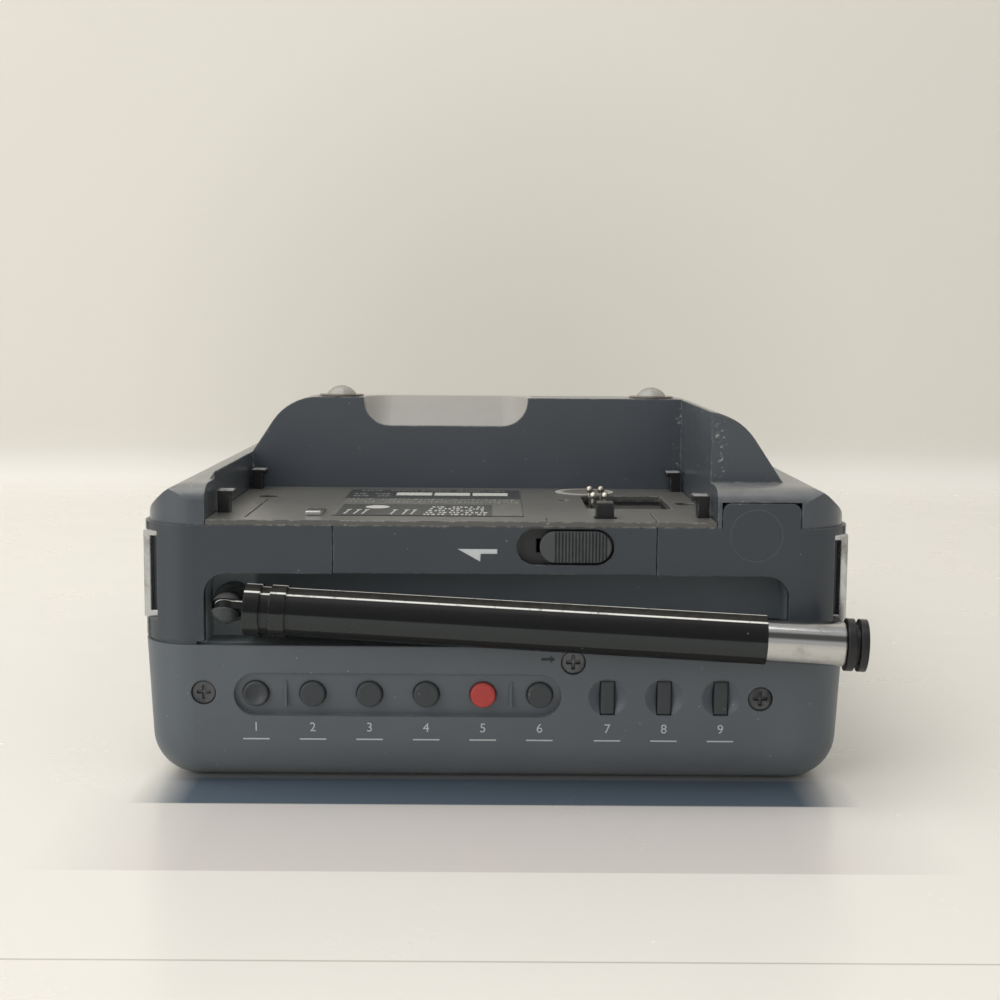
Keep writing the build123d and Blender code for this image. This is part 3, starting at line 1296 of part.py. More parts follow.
# Antenna: a knuckle in the bay, a black sleeve and three bright tubes that slide in it
pivot = Vector(PIVOT_X, rear(PIVOT_T), PIVOT_Z)
rod_dir = Vector(1, -tan(radians(ROD_OUT)), -tan(radians(ROD_DOWN))).normalized()
raised_dir = Vector(0, -cos(radians(ROD_RISE)), sin(radians(ROD_RISE)))
swing_axis = rod_dir.cross(raised_dir).normalized()
rod = Plane(origin=pivot, x_dir=swing_axis, z_dir=rod_dir)
swing = Plane(origin=pivot, x_dir=rod_dir, z_dir=swing_axis)

with BuildPart() as antenna_knuckle:
    slot_in = TONGUE_R + 2 * FIT
    with Locations(swing.location):
        Sphere(BALL_R)
    disc_y(PIVOT_X, PIVOT_Z, rear(PIVOT_T + BALL_R / 2), rear(ANT_DEEP), KNUCKLE_STEM_R)
    disc_y(PIVOT_X, PIVOT_Z, rear(KNUCKLE_BOSS_T), rear(ANT_DEEP), KNUCKLE_BOSS_R)
    with BuildSketch(swing) as slot:
        with Locations((BALL_R - slot_in / 2, 0)):
            Rectangle(2 * BALL_R + slot_in, 2 * slot_in)
        with Locations((0, BALL_R - slot_in / 2)):
            Rectangle(2 * slot_in, 2 * BALL_R + slot_in)
    extrude(amount=TONGUE_W / 2 + FIT, both=True, mode=Mode.SUBTRACT)
    with BuildSketch(swing):
        Circle(KNUCKLE_PIN_R)
    extrude(amount=BALL_R * PIN_SHARE, both=True)
save(antenna_knuckle, "antenna_knuckle")

with BuildPart() as antenna_sleeve:
    with BuildSketch(swing):
        Circle(TONGUE_R)
        with Locations(((COLLAR_START + 1) / 2, 0)):
            Rectangle(COLLAR_START + 1, 2 * NECK_R)
        Circle(KNUCKLE_PIN_R + RUN, mode=Mode.SUBTRACT)
    extrude(amount=TONGUE_W / 2, both=True)
    with BuildSketch(rod.offset(COLLAR_START)):
        Circle(COLLAR_R - COLLAR_GROOVE)
    extrude(amount=SLEEVE_PLUG)
    with BuildSketch(rod.offset(COLLAR_END)):
        Circle(SLEEVE_R)
    extrude(amount=SLEEVE_END - COLLAR_END)
    ring = (COLLAR_END - COLLAR_START) * RING_SHARE
    for start in (COLLAR_START, COLLAR_END - ring):
        with BuildSketch(rod.offset(start)):
            Circle(COLLAR_R)
        extrude(amount=ring)
    with BuildSketch(rod.offset(SLEEVE_PLUG)):
        Circle(TUBE_RADII[0] + RUN)
    extrude(amount=SLEEVE_END, mode=Mode.SUBTRACT)
save(antenna_sleeve, "antenna_sleeve")

for number, radius in enumerate(TUBE_RADII, 1):
    with BuildPart() as antenna_tube:
        start = SLEEVE_PLUG + number * TUBE_STEP
        with BuildSketch(rod.offset(start)):
            Circle(radius)
            Circle(radius - TUBE_WALL, mode=Mode.SUBTRACT)
        extrude(amount=TUBE_END - start)
        if number == len(TUBE_RADII):
            with BuildSketch(rod.offset(TUBE_END)):
                Circle(radius)
            extrude(amount=TIP_GAP)
            with BuildSketch(rod.offset(TUBE_END + TIP_GAP)):
                Circle(TIP_GROOVE_R)
            extrude(amount=TIP_LENGTH)
            for start in (0, TIP_LENGTH * (1 - RING_SHARE)):
                with BuildSketch(rod.offset(TUBE_END + TIP_GAP + start)):
                    Circle(TIP_R)
                extrude(amount=TIP_LENGTH * RING_SHARE)
    save(antenna_tube, f"antenna_tube_{number}")

# Side controls and jacks
for face, name in ((eject_face, "eject_slider"), (power_face, "power_switch")):
    travel = CONTROL_W - CONTROL_KNOB_W
    knob = slide_knob(
        face, CONTROL_H, CONTROL_DEEP, WALL, CONTROL_KNOB_W, CONTROL_KNOB_H, travel, 0, CONTROL_RIBS
    )
    save(knob, name)

with BuildPart() as volume_wheel:
    disc(VOLUME_X, rear(VOLUME_T), CONTROL_Z - VOLUME_H / 2, CONTROL_Z + VOLUME_H / 2, VOLUME_R)
    with Locations((VOLUME_X, rear(VOLUME_T), CONTROL_Z)):
        with PolarLocations(VOLUME_R, VOLUME_TEETH):
            Cylinder(VOLUME_TOOTH_R, VOLUME_H, mode=Mode.SUBTRACT)
    disc(VOLUME_X, rear(VOLUME_T), 0, SIDE_TOP, VOLUME_SHAFT_R + RUN, Mode.SUBTRACT)
save(volume_wheel, "volume_wheel")

with BuildPart() as side_jacks:
    for y, radius in jack_spots:
        disc_x(y, JACK_Z, -HALF_W, -HALF_W + JACK_L, radius + JACK_BODY / 2)
        disc_x(y, JACK_Z, -HALF_W + WALL, -HALF_W + JACK_L, radius + JACK_BODY)
    for y, radius in jack_spots:
        disc_x(y, JACK_Z, -HALF_W - 1, -HALF_W + JACK_L - JACK_END, radius, Mode.SUBTRACT)
save(side_jacks, "side_jacks")

# Deck mechanism on its chassis
spool_y = rear(REEL_T)
with BuildPart() as deck_chassis:
    block(
        (-CHASSIS_W / 2, rear(CHASSIS_TS[0]), CHASSIS_Z),
        (CHASSIS_W / 2, rear(CHASSIS_TS[1]), CHASSIS_TOP),
    )
    for x in (-REEL_X, REEL_X):
        disc(x, spool_y, CHASSIS_TOP, SPINDLE_TOP - 2 * SPINDLE_CAP, AXLE_R)
    disc(CAPSTAN_X, rear(CAPSTAN_T), CHASSIS_Z - BEARING_DOWN, CHASSIS_TOP + BEARING_UP, BEARING_R)
    disc(CAPSTAN_X, rear(CAPSTAN_T), 0, SIDE_TOP, CAPSTAN_R + RUN, Mode.SUBTRACT)
    disc(0, spool_y, 0, SIDE_TOP, CAPSTAN_R + RUN, Mode.SUBTRACT)
    disc(0, rear(DRUM_T), CHASSIS_TOP, CHASSIS_TOP + DRUM_BASE_H, DRUM_R)
    disc(0, rear(DRUM_T), CHASSIS_TOP, CHASSIS_TOP + DRUM_BASE_H + DRUM_TOP_H, DRUM_SHAFT_R)
save(deck_chassis, "deck_chassis")

with BuildPart() as head_drum:
    low = CHASSIS_TOP + DRUM_BASE_H + DRUM_GAP
    disc(0, rear(DRUM_T), low, low + DRUM_TOP_H, DRUM_R)
    fillet(head_drum.faces().sort_by(Axis.Z)[-1].edges(), DRUM_EDGE_R)
    with Locations((0, rear(DRUM_T), low + DRUM_TOP_H)):
        with PolarLocations(DRUM_HOLE_PITCH_R, 4):
            Hole(DRUM_HOLE_R, depth=DRUM_HOLE_DEEP)
    disc(0, rear(DRUM_T), 0, HUMP_TOP, DRUM_SHAFT_R + RUN, Mode.SUBTRACT)
save(head_drum, "head_drum")

for side, name in ((-1, "supply_reel"), (1, "takeup_reel")):
    with BuildPart() as reel:
        low = CHASSIS_TOP + DRUM_GAP
        disc(side * REEL_X, spool_y, low, low + REEL_H, REEL_R)
        disc(side * REEL_X, spool_y, low, SPINDLE_TOP, SPINDLE_R - SPINDLE_FIN)
        with Locations((side * REEL_X, spool_y, (low + SPINDLE_TOP) / 2)):
            with PolarLocations(SPINDLE_R - SPINDLE_FIN, 3):
                Box(2 * SPINDLE_FIN, SPINDLE_FIN_W, SPINDLE_TOP - low)
        disc(side * REEL_X, spool_y, 0, SPINDLE_TOP - SPINDLE_CAP, AXLE_R + RUN, Mode.SUBTRACT)
    save(reel, name)

with BuildPart() as idler_wheel:
    low = CHASSIS_TOP + DRUM_GAP
    disc(0, spool_y, low, low + REEL_H, IDLER_R)
    disc(0, spool_y, PULLEY_Z - PULLEY_H, low, CAPSTAN_R)
    disc(0, spool_y, PULLEY_Z - PULLEY_H, PULLEY_Z, PULLEY_R)
save(idler_wheel, "idler_wheel")

with BuildPart() as capstan:
    disc(CAPSTAN_X, rear(CAPSTAN_T), PULLEY_Z - PULLEY_H - FLYWHEEL_H, CAPSTAN_TOP, CAPSTAN_R)
    disc(CAPSTAN_X, rear(CAPSTAN_T), PULLEY_Z - PULLEY_H - FLYWHEEL_H, PULLEY_Z - PULLEY_H, FLYWHEEL_R)
    disc(CAPSTAN_X, rear(CAPSTAN_T), PULLEY_Z - PULLEY_H, PULLEY_Z, PULLEY_R)
save(capstan, "capstan")

belt_from = Vector(CAPSTAN_X, rear(CAPSTAN_T), 0)
belt_to = Vector(0, spool_y, 0)
with BuildPart() as drive_belt:
    with BuildSketch(Plane.XY.offset(PULLEY_Z - PULLEY_H / 2 - BELT_W / 2)):
        along_belt = Plane(origin=(belt_from + belt_to) / 2, x_dir=(belt_to - belt_from).normalized())
        with Locations(along_belt.location):
            run_length = (belt_to - belt_from).length
            SlotCenterToCenter(run_length, 2 * (PULLEY_R + FIT + BELT_W))
            SlotCenterToCenter(run_length, 2 * (PULLEY_R + FIT), mode=Mode.SUBTRACT)
    extrude(amount=BELT_W)
save(drive_belt, "drive_belt")

with BuildPart() as cassette_tray:
    block((-TRAY_HALF, rear(TRAY_TS[0]), TRAY_Z), (TRAY_HALF, rear(TRAY_TS[1]), TRAY_TOP))
    block(
        (-TRAY_HALF + TRAY_T, rear(TRAY_TS[0] + TRAY_T), TRAY_Z + TRAY_T),
        (TRAY_HALF - TRAY_T, rear(TRAY_TS[1] - TRAY_T), TRAY_TOP + 1),
        Mode.SUBTRACT,
    )
    block(
        (-HALF_W, rear(TRAY_TS[1] - TRAY_LIP_T), TRAY_LIP_TOP),
        (HALF_W, rear(TRAY_TS[1] + 1), TRAY_TOP + 1),
        Mode.SUBTRACT,
    )
    for x in (-REEL_X, REEL_X):
        disc(x, spool_y, 0, SIDE_TOP, TRAY_HOLE_R, Mode.SUBTRACT)
    for x in (-1, 1):
        for t in TRAY_TS:
            inward = TRAY_FOOT_IN if t == TRAY_TS[0] else -TRAY_FOOT_IN
            foot_x = x * (TRAY_HALF - TRAY_FOOT_IN)
            disc(foot_x, rear(t + inward), CHASSIS_TOP, TRAY_Z + TRAY_T, TRAY_FOOT_R)
save(cassette_tray, "cassette_tray")

# Boards and the tuner on the floor of the lower shell
with BuildPart() as main_board:
    block(
        (-CHASSIS_W / 2, rear(CHASSIS_TS[0]), BOARD_Z),
        (CHASSIS_W / 2, rear(CHASSIS_TS[1]), BOARD_Z + BOARD_T),
    )
    for x, y in posts:
        disc(x, y, 0, SIDE_TOP, POST_TIP_R + FIT, Mode.SUBTRACT)
    for x, t, width, length, height in CHIPS:
        middle = CHASSIS_TS[0] + t
        block(
            (x - width / 2, rear(middle - length / 2), BOARD_Z),
            (x + width / 2, rear(middle + length / 2), BOARD_Z + BOARD_T + height),
        )
save(main_board, "main_board")

with BuildPart() as tuner_box:
    block((TUNER_X, rear(TUNER_TS[0]), WALL), (TUNER_X + TUNER_W, rear(TUNER_TS[1]), TUNER_TOP))
save(tuner_box, "tuner_box")
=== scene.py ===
import bpy
import bmesh
from math import asin, cos, pi, radians, sin, tan
from mathutils import Matrix, Vector


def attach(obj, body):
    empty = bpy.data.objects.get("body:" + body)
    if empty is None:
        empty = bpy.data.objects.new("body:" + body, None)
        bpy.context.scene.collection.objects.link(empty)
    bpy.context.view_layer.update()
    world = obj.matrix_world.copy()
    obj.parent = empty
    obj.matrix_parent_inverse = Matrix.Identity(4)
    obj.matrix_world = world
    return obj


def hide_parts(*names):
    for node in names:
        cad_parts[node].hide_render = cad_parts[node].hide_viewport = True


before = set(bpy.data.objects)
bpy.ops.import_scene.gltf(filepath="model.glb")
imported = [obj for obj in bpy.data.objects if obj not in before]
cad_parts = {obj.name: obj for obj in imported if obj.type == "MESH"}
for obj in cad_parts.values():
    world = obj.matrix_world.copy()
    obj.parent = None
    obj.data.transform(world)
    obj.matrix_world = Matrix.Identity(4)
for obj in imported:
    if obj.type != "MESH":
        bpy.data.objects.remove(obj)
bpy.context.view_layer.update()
scene = bpy.context.scene
scene.view_settings.view_transform = "Standard"

# Camera: a phone held low in front of the rear face, a little left of the middle and
# tilted slightly down.
lens_data = bpy.data.cameras.new("camera")
lens_data.sensor_width = 36.0
lens_data.lens = 57.6
lens_data.clip_start = 0.01
camera = bpy.data.objects.new("camera", lens_data)
scene.collection.objects.link(camera)
scene.camera = camera
CAMERA_AT = Vector((-0.000776, -0.38464, 0.08372))
turn, tip, lean = radians(0.2825), radians(6.296), radians(0.436)
forward = Vector((cos(tip) * sin(turn), cos(tip) * cos(turn), -sin(tip)))
across = Vector((cos(turn), -sin(turn), 0.0))
upward = across.cross(forward)
tilted_across = across * cos(lean) + upward * sin(lean)
tilted_upward = upward * cos(lean) - across * sin(lean)
turned_by = Matrix((tilted_across, tilted_upward, -forward)).transposed().to_4x4()
camera.matrix_world = Matrix.Translation(CAMERA_AT) @ turned_by


# Table and wall: off-white glossy slats 34.6 mm wide, whose joints show in front of the
# case, and a warm white wall that they meet in a soft cove. The wall lets a camera that
# stands behind it look through.
def paint(red, green, blue):
    """A colour in screen values, 0 to 255, as the shaders' linear ones."""
    shades = [value / 255 for value in (red, green, blue)]
    linear = [v / 12.92 if v <= 0.04045 else ((v + 0.055) / 1.055) ** 2.4 for v in shades]
    return (*linear, 1.0)


def set_out(material, kind, x, y, **values):
    """A node of a kind, set out on the material's sheet with its plain settings."""
    node = material.nodes.new(kind)
    node.location = (x, y)
    for name, value in values.items():
        setattr(node, name, value)
    return node


def sum_up(tree, operation, x, y, first, second=None, clamp=False):
    """A math node fed by sockets or plain numbers."""
    node = set_out(tree, "ShaderNodeMath", x, y, operation=operation, use_clamp=clamp)
    for port, value in enumerate((first, second)):
        if value is None:
            continue
        if isinstance(value, (int, float)):
            node.inputs[port].default_value = value
        else:
            tree.links.new(value, node.inputs[port])
    return node.outputs[0]


def speckle(tree, x, y, vector, size, detail=3.0, rough=0.55):
    """A noise whose lumps are about the given size in metres."""
    node = set_out(tree, "ShaderNodeTexNoise", x, y)
    node.inputs["Scale"].default_value = 1.0 / size
    node.inputs["Detail"].default_value = detail
    node.inputs["Roughness"].default_value = rough
    tree.links.new(vector, node.inputs["Vector"])
    return node.outputs["Fac"]


def step(tree, x, y, value, low, high, to_low=0.0, to_high=1.0):
    """A value spread from one range onto another and held inside it."""
    node = set_out(tree, "ShaderNodeMapRange", x, y, clamp=True)
    tree.links.new(value, node.inputs["Value"])
    ends = {"From Min": low, "From Max": high, "To Min": to_low, "To Max": to_high}
    for port, number in ends.items():
        node.inputs[port].default_value = number
    return node.outputs[0]


def blend_paint(tree, x, y, share, first, second):
    """A colour mixed from two, each a socket or a plain colour."""
    node = set_out(tree, "ShaderNodeMix", x, y, data_type="RGBA")
    tree.links.new(share, node.inputs[0])
    for port, value in ((6, first), (7, second)):
        if isinstance(value, tuple):
            node.inputs[port].default_value = value
        else:
            tree.links.new(value, node.inputs[port])
    return node.outputs[2]


SLAT_W = 0.0346
FIRST_JOINT_Y = -0.1123
TABLE_HALF_W = 2.5
TABLE_NEAR_Y = -1.6
COVE_Y = 0.44
COVE_R = 0.02
COVE_PARTS = 12
WALL_H = 1.9
profile = [(TABLE_NEAR_Y, 0.0), (COVE_Y - COVE_R, 0.0)]
for part in range(1, COVE_PARTS + 1):
    bend = radians(90) * part / COVE_PARTS
    profile.append((COVE_Y - COVE_R + COVE_R * sin(bend), COVE_R - COVE_R * cos(bend)))
profile.append((COVE_Y, WALL_H))
shape = bmesh.new()
rows = [[shape.verts.new((x, y, z)) for x in (-TABLE_HALF_W, TABLE_HALF_W)] for y, z in profile]
for low, high in zip(rows, rows[1:]):
    shape.faces.new((low[0], low[1], high[1], high[0])).smooth = True
mesh = bpy.data.meshes.new("table_and_wall")
shape.to_mesh(mesh)
shape.free()
backdrop = bpy.data.objects.new("table_and_wall", mesh)
scene.collection.objects.link(backdrop)

# The slats' joints are fine grey lines. Seen from low down, the first slat carries a painted
# reflection and shadow of the dark case, and the second a fainter one. The wall carries painted
# shade just behind the case.
JOINT_EDGE, JOINT_CORE = 0.02, 0.006
FIRST_SLAT_REACH = (0.0645, 0.054)
SECOND_SLAT_REACH = (0.074, 0.048)
LOW_LOOK = (0.48, 0.62)
backdrop_look = bpy.data.materials.new("table_and_wall")
backdrop_look.use_nodes = True
sheet = backdrop_look.node_tree
shader = sheet.nodes["Principled BSDF"]
place = set_out(sheet, "ShaderNodeTexCoord", -1500, 0)
split = set_out(sheet, "ShaderNodeSeparateXYZ", -1300, 0)
sheet.links.new(place.outputs["Object"], split.inputs[0])
from_joint = sum_up(sheet, "SUBTRACT", -1100, 100, split.outputs["Y"], FIRST_JOINT_Y)
slats_away = sum_up(sheet, "DIVIDE", -950, 100, from_joint, SLAT_W / 2)
to_joint = sum_up(sheet, "PINGPONG", -800, 100, slats_away, 1.0)
line = step(sheet, -650, 100, to_joint, JOINT_EDGE, JOINT_CORE)
in_front = step(sheet, -650, -50, from_joint, -1.5 * SLAT_W, -1.6 * SLAT_W)
joint_share = sum_up(sheet, "MULTIPLY", -480, 60, line, in_front)
sideways = sum_up(sheet, "ABSOLUTE", -1100, -250, split.outputs["X"])
low_look = set_out(sheet, "ShaderNodeLayerWeight", -650, -1450)
grazing_view = step(sheet, -480, -1450, low_look.outputs["Facing"], *LOW_LOOK)


def slat_mirror(y, starts, ends, reach):
    """A slat's share of painted reflection and shadow of the case, from its near joint to under the
    case.
    """
    share = sum_up(sheet, "MULTIPLY", -480, y, starts, step(sheet, -650, y, sideways, *reach))
    share = sum_up(sheet, "MULTIPLY", -330, y, share, step(sheet, -650, y - 150, from_joint, *ends))
    return sum_up(sheet, "MULTIPLY", -200, y, share, grazing_view)


# Painted reflection and shadow of the case on the first two slats, only where they are seen from
# low down.
second_slat = step(sheet, -800, -200, from_joint, -SLAT_W - 0.0002, -SLAT_W + 0.0002)
painted_faint_reflection = slat_mirror(-250, second_slat, (0.02, 0.0), SECOND_SLAT_REACH)
first_slat = step(sheet, -800, -1000, from_joint, -0.0004, 0.0002)
painted_reflection_and_shadow = slat_mirror(-1000, first_slat, (0.021, 0.015), FIRST_SLAT_REACH)
upright = step(sheet, -650, -650, split.outputs["Z"], 0.0, 0.03)
tone = blend_paint(sheet, -480, 350, upright, paint(238, 234, 226), paint(230, 226, 216))
# Painted shade on the wall just behind the case.
behind_case = set_out(sheet, "ShaderNodeVectorMath", -1300, -1500, operation="DISTANCE")
behind_case.inputs[1].default_value = (0.0, COVE_Y, 0.05)
sheet.links.new(place.outputs["Object"], behind_case.inputs[0])
painted_wall_shade = step(sheet, -1100, -1500, behind_case.outputs["Value"], 0.19, 0.04, 0.0, 0.5)
tone = blend_paint(sheet, -400, 350, painted_wall_shade, tone, paint(198, 196, 186))
tone = blend_paint(sheet, -300, 250, painted_faint_reflection, tone, paint(216, 210, 204))
tone = blend_paint(sheet, -200, 250, painted_reflection_and_shadow, tone, paint(88, 100, 112))
tone = blend_paint(sheet, -120, 200, joint_share, tone, paint(196, 191, 183))
sheet.links.new(tone, shader.inputs["Base Color"])
wiped = speckle(sheet, -650, -850, place.outputs["Object"], 0.03, 4.0, 0.6)
gloss = step(sheet, -450, -850, wiped, 0.3, 0.7, 0.24, 0.28)
matt = step(sheet, -300, -850, upright, 0.0, 0.3, 0.0, 0.6)
sheet.links.new(sum_up(sheet, "ADD", -120, -850, gloss, matt), shader.inputs["Roughness"])
facing = set_out(sheet, "ShaderNodeNewGeometry", 100, 300)
unseen = set_out(sheet, "ShaderNodeBsdfTransparent", 100, 150)
from_behind = set_out(sheet, "ShaderNodeMixShader", 350, 200)
sheet.links.new(facing.outputs["Backfacing"], from_behind.inputs[0])
sheet.links.new(shader.outputs[0], from_behind.inputs[1])
sheet.links.new(unseen.outputs[0], from_behind.inputs[2])
sheet.links.new(from_behind.outputs[0], sheet.nodes["Material Output"].inputs["Surface"])
backdrop.data.materials.append(backdrop_look)

# Light: a wide soft lamp above, a dimmer one behind the camera, and an even room.
for name, size, power, where, aim in (
    ("ceiling_lamp", 1.3, 10.3, (-0.45, -0.15, 1.35), (0.0, 0.0, 0.0)),
    ("window_lamp", 1.1, 8.0, (-1.25, -1.0, 0.7), (0.0, 0.0, 0.05)),
):
    glow = bpy.data.lights.new(name, "AREA")
    glow.shape = "SQUARE"
    glow.size = size
    glow.energy = power
    lamp = bpy.data.objects.new(name, glow)
    lamp.location = where
    lamp.rotation_euler = (Vector(aim) - Vector(where)).to_track_quat("-Z", "Y").to_euler()
    scene.collection.objects.link(lamp)
room = bpy.data.worlds.new("room")
scene.world = room
room.use_nodes = True
room.node_tree.nodes["Background"].inputs["Color"].default_value = paint(238, 239, 240)
room.node_tree.nodes["Background"].inputs["Strength"].default_value = 0.61


# Middle shell and rear panel: dark blue-grey ABS mouldings with a fine spark-eroded
# texture, screwed together. Thirty years of handling left pale edges, dust and smears.
MM = 0.001
REAR_FACE_Y = -101.2 * MM


def new_group(name, inputs, outputs):
    """A shader group with named float or vector inputs and outputs."""
    group = bpy.data.node_groups.new(name, "ShaderNodeTree")
    for label, kind, value in inputs:
        socket = group.interface.new_socket(name=label, in_out="INPUT", socket_type=kind)
        if value is not None:
            socket.default_value = value
    for label, kind in outputs:
        group.interface.new_socket(name=label, in_out="OUTPUT", socket_type=kind)
    entry = set_out(group, "NodeGroupInput", -1300, 0)
    return group, entry, set_out(group, "NodeGroupOutput", 500, 0)


worn_edge, ports, results = new_group(
    "worn_edge",
    [("Vector", "NodeSocketVector", None)],
    [("Wear", "NodeSocketFloat"), ("Normal", "NodeSocketVector")],
)
rounded = set_out(worn_edge, "ShaderNodeBevel", -1000, 200, samples=4)
rounded.inputs["Radius"].default_value = 0.45 * MM
true_face = set_out(worn_edge, "ShaderNodeNewGeometry", -1000, -100)
agree = set_out(worn_edge, "ShaderNodeVectorMath", -750, 0, operation="DOT_PRODUCT")
worn_edge.links.new(rounded.outputs[0], agree.inputs[0])
worn_edge.links.new(true_face.outputs["Normal"], agree.inputs[1])
turned = step(worn_edge, -550, 0, agree.outputs["Value"], 0.995, 0.86)
chips = speckle(worn_edge, -750, -300, ports.outputs["Vector"], 1.6 * MM, 5.0, 0.7)
chips = step(worn_edge, -550, -300, chips, 0.46, 0.66)
worn = sum_up(worn_edge, "MULTIPLY", 200, 0, turned, chips)
worn_edge.links.new(worn, results.inputs["Wear"])
worn_edge.links.new(rounded.outputs[0], results.inputs["Normal"])

# A pale film on upward faces, partly dust and partly painted sheen, and scattered dust specks.
dust_and_sheen, ports, results = new_group(
    "dust_and_sheen",
    [("Vector", "NodeSocketVector", None)],
    [("Film", "NodeSocketFloat"), ("Specks", "NodeSocketFloat")],
)
true_face = set_out(dust_and_sheen, "ShaderNodeNewGeometry", -1000, 200)
split = set_out(dust_and_sheen, "ShaderNodeSeparateXYZ", -820, 200)
dust_and_sheen.links.new(true_face.outputs["Normal"], split.inputs[0])
upward_face = step(dust_and_sheen, -640, 200, split.outputs["Z"], 0.2, 0.95)
patches = speckle(dust_and_sheen, -820, -50, ports.outputs["Vector"], 3.0 * MM, 5.0, 0.65)
patches = step(dust_and_sheen, -640, -50, patches, 0.35, 0.7, 0.6, 1.0)
dust_and_sheen_film = sum_up(dust_and_sheen, "MULTIPLY", -300, 100, upward_face, patches)
dust_and_sheen.links.new(dust_and_sheen_film, results.inputs["Film"])
grains = set_out(dust_and_sheen, "ShaderNodeTexVoronoi", -820, -300)
grains.inputs["Scale"].default_value = 1.0 / (2.2 * MM)
dust_and_sheen.links.new(ports.outputs["Vector"], grains.inputs["Vector"])
dots = step(dust_and_sheen, -640, -300, grains.outputs["Distance"], 0.075, 0.045)
chosen = set_out(dust_and_sheen, "ShaderNodeSeparateColor", -640, -480)
dust_and_sheen.links.new(grains.outputs["Color"], chosen.inputs[0])
few = step(dust_and_sheen, -460, -480, chosen.outputs[0], 0.62, 0.66)
dust_specks = sum_up(dust_and_sheen, "MULTIPLY", -260, -350, dots, few)
dust_and_sheen.links.new(dust_specks, results.inputs["Specks"])

moulded_grain, ports, results = new_group(
    "moulded_grain",
    [("Vector", "NodeSocketVector", None)],
    [("Height", "NodeSocketFloat"), ("Mottle", "NodeSocketFloat"), ("Smears", "NodeSocketFloat")],
)
pits = speckle(moulded_grain, -800, 200, ports.outputs["Vector"], 0.28 * MM, 2.0, 0.5)
waves = speckle(moulded_grain, -800, 0, ports.outputs["Vector"], 14.0 * MM, 2.0, 0.5)
fine = sum_up(moulded_grain, "MULTIPLY", -500, 200, pits, 0.85)
slow = sum_up(moulded_grain, "MULTIPLY", -500, 0, waves, 0.15)
grain_height = sum_up(moulded_grain, "ADD", -300, 100, fine, slow)
moulded_grain.links.new(grain_height, results.inputs["Height"])
moulded_grain.links.new(step(moulded_grain, -500, -200, waves, 0.3, 0.7), results.inputs["Mottle"])
hands = speckle(moulded_grain, -800, -400, ports.outputs["Vector"], 22.0 * MM, 6.0, 0.62)
moulded_grain.links.new(step(moulded_grain, -500, -400, hands, 0.4, 0.68), results.inputs["Smears"])


def moulded_plastic(
    name, colour, worn, roughness, grain,
    wear=0.6, film=0.12, specks=0.35, sheen=0.0, sheen_blur=0.12, level=0.42,
):
    """Moulded plastic with its texture, worn edges, dust and painted sheen, and smears, each by its
    own share.
    """
    look = bpy.data.materials.new(name)
    look.use_nodes = True
    tree = look.node_tree
    shader = tree.nodes["Principled BSDF"]
    shader.location = (500, 0)
    shader.inputs["Specular IOR Level"].default_value = level
    shader.inputs["Coat Weight"].default_value = sheen
    shader.inputs["Coat Roughness"].default_value = sheen_blur
    place = set_out(tree, "ShaderNodeTexCoord", -1300, 0).outputs["Object"]
    surface = {}
    for y, group in ((300, moulded_grain), (50, worn_edge), (-200, dust_and_sheen)):
        node = set_out(tree, "ShaderNodeGroup", -1050, y, node_tree=group)
        tree.links.new(place, node.inputs["Vector"])
        surface.update({port.name: port for port in node.outputs})
    darker = tuple(shade * 0.92 for shade in colour[:3]) + (1.0,)
    body = blend_paint(tree, -700, 300, surface["Mottle"], darker, colour)
    edge_share = sum_up(tree, "MULTIPLY", -700, 50, surface["Wear"], wear)
    body = blend_paint(tree, -450, 250, edge_share, body, worn)
    film_share = sum_up(tree, "MULTIPLY", -700, -150, surface["Film"], film)
    speck_share = sum_up(tree, "MULTIPLY", -700, -300, surface["Specks"], specks)
    dust_and_sheen_share = sum_up(tree, "MAXIMUM", -450, -200, film_share, speck_share)
    body = blend_paint(tree, -200, 200, dust_and_sheen_share, body, paint(190, 186, 176))
    tree.links.new(body, shader.inputs["Base Color"])
    clean, greasy = roughness + 0.05, roughness - 0.09
    smeared = step(tree, -450, -400, surface["Smears"], 0.0, 1.0, clean, greasy)
    dull = sum_up(tree, "ADD", -200, -350, smeared, film_share, True)
    tree.links.new(dull, shader.inputs["Roughness"])
    relief = set_out(tree, "ShaderNodeBump", 200, -500)
    relief.inputs["Strength"].default_value = grain
    relief.inputs["Distance"].default_value = 0.12 * MM
    tree.links.new(surface["Height"], relief.inputs["Height"])
    tree.links.new(surface["Normal"], relief.inputs["Normal"])
    tree.links.new(relief.outputs[0], shader.inputs["Normal"])
    return look


def inside_box(tree, x, y, place, low, high, soft):
    """One inside a box given in millimetres, falling to nothing over a soft edge."""
    split = set_out(tree, "ShaderNodeSeparateXYZ", x, y)
    tree.links.new(place, split.inputs[0])
    share = None
    for axis, near, far in zip("XYZ", low, high):
        half = (far - near) / 2 * MM
        apart = sum_up(tree, "SUBTRACT", x + 150, y, split.outputs[axis], (near + far) / 2 * MM)
        apart = sum_up(tree, "ABSOLUTE", x + 300, y, apart)
        part = step(tree, x + 450, y, apart, half + soft * MM, half)
        share = part if share is None else sum_up(tree, "MULTIPLY", x + 600, y, share, part)
    return share


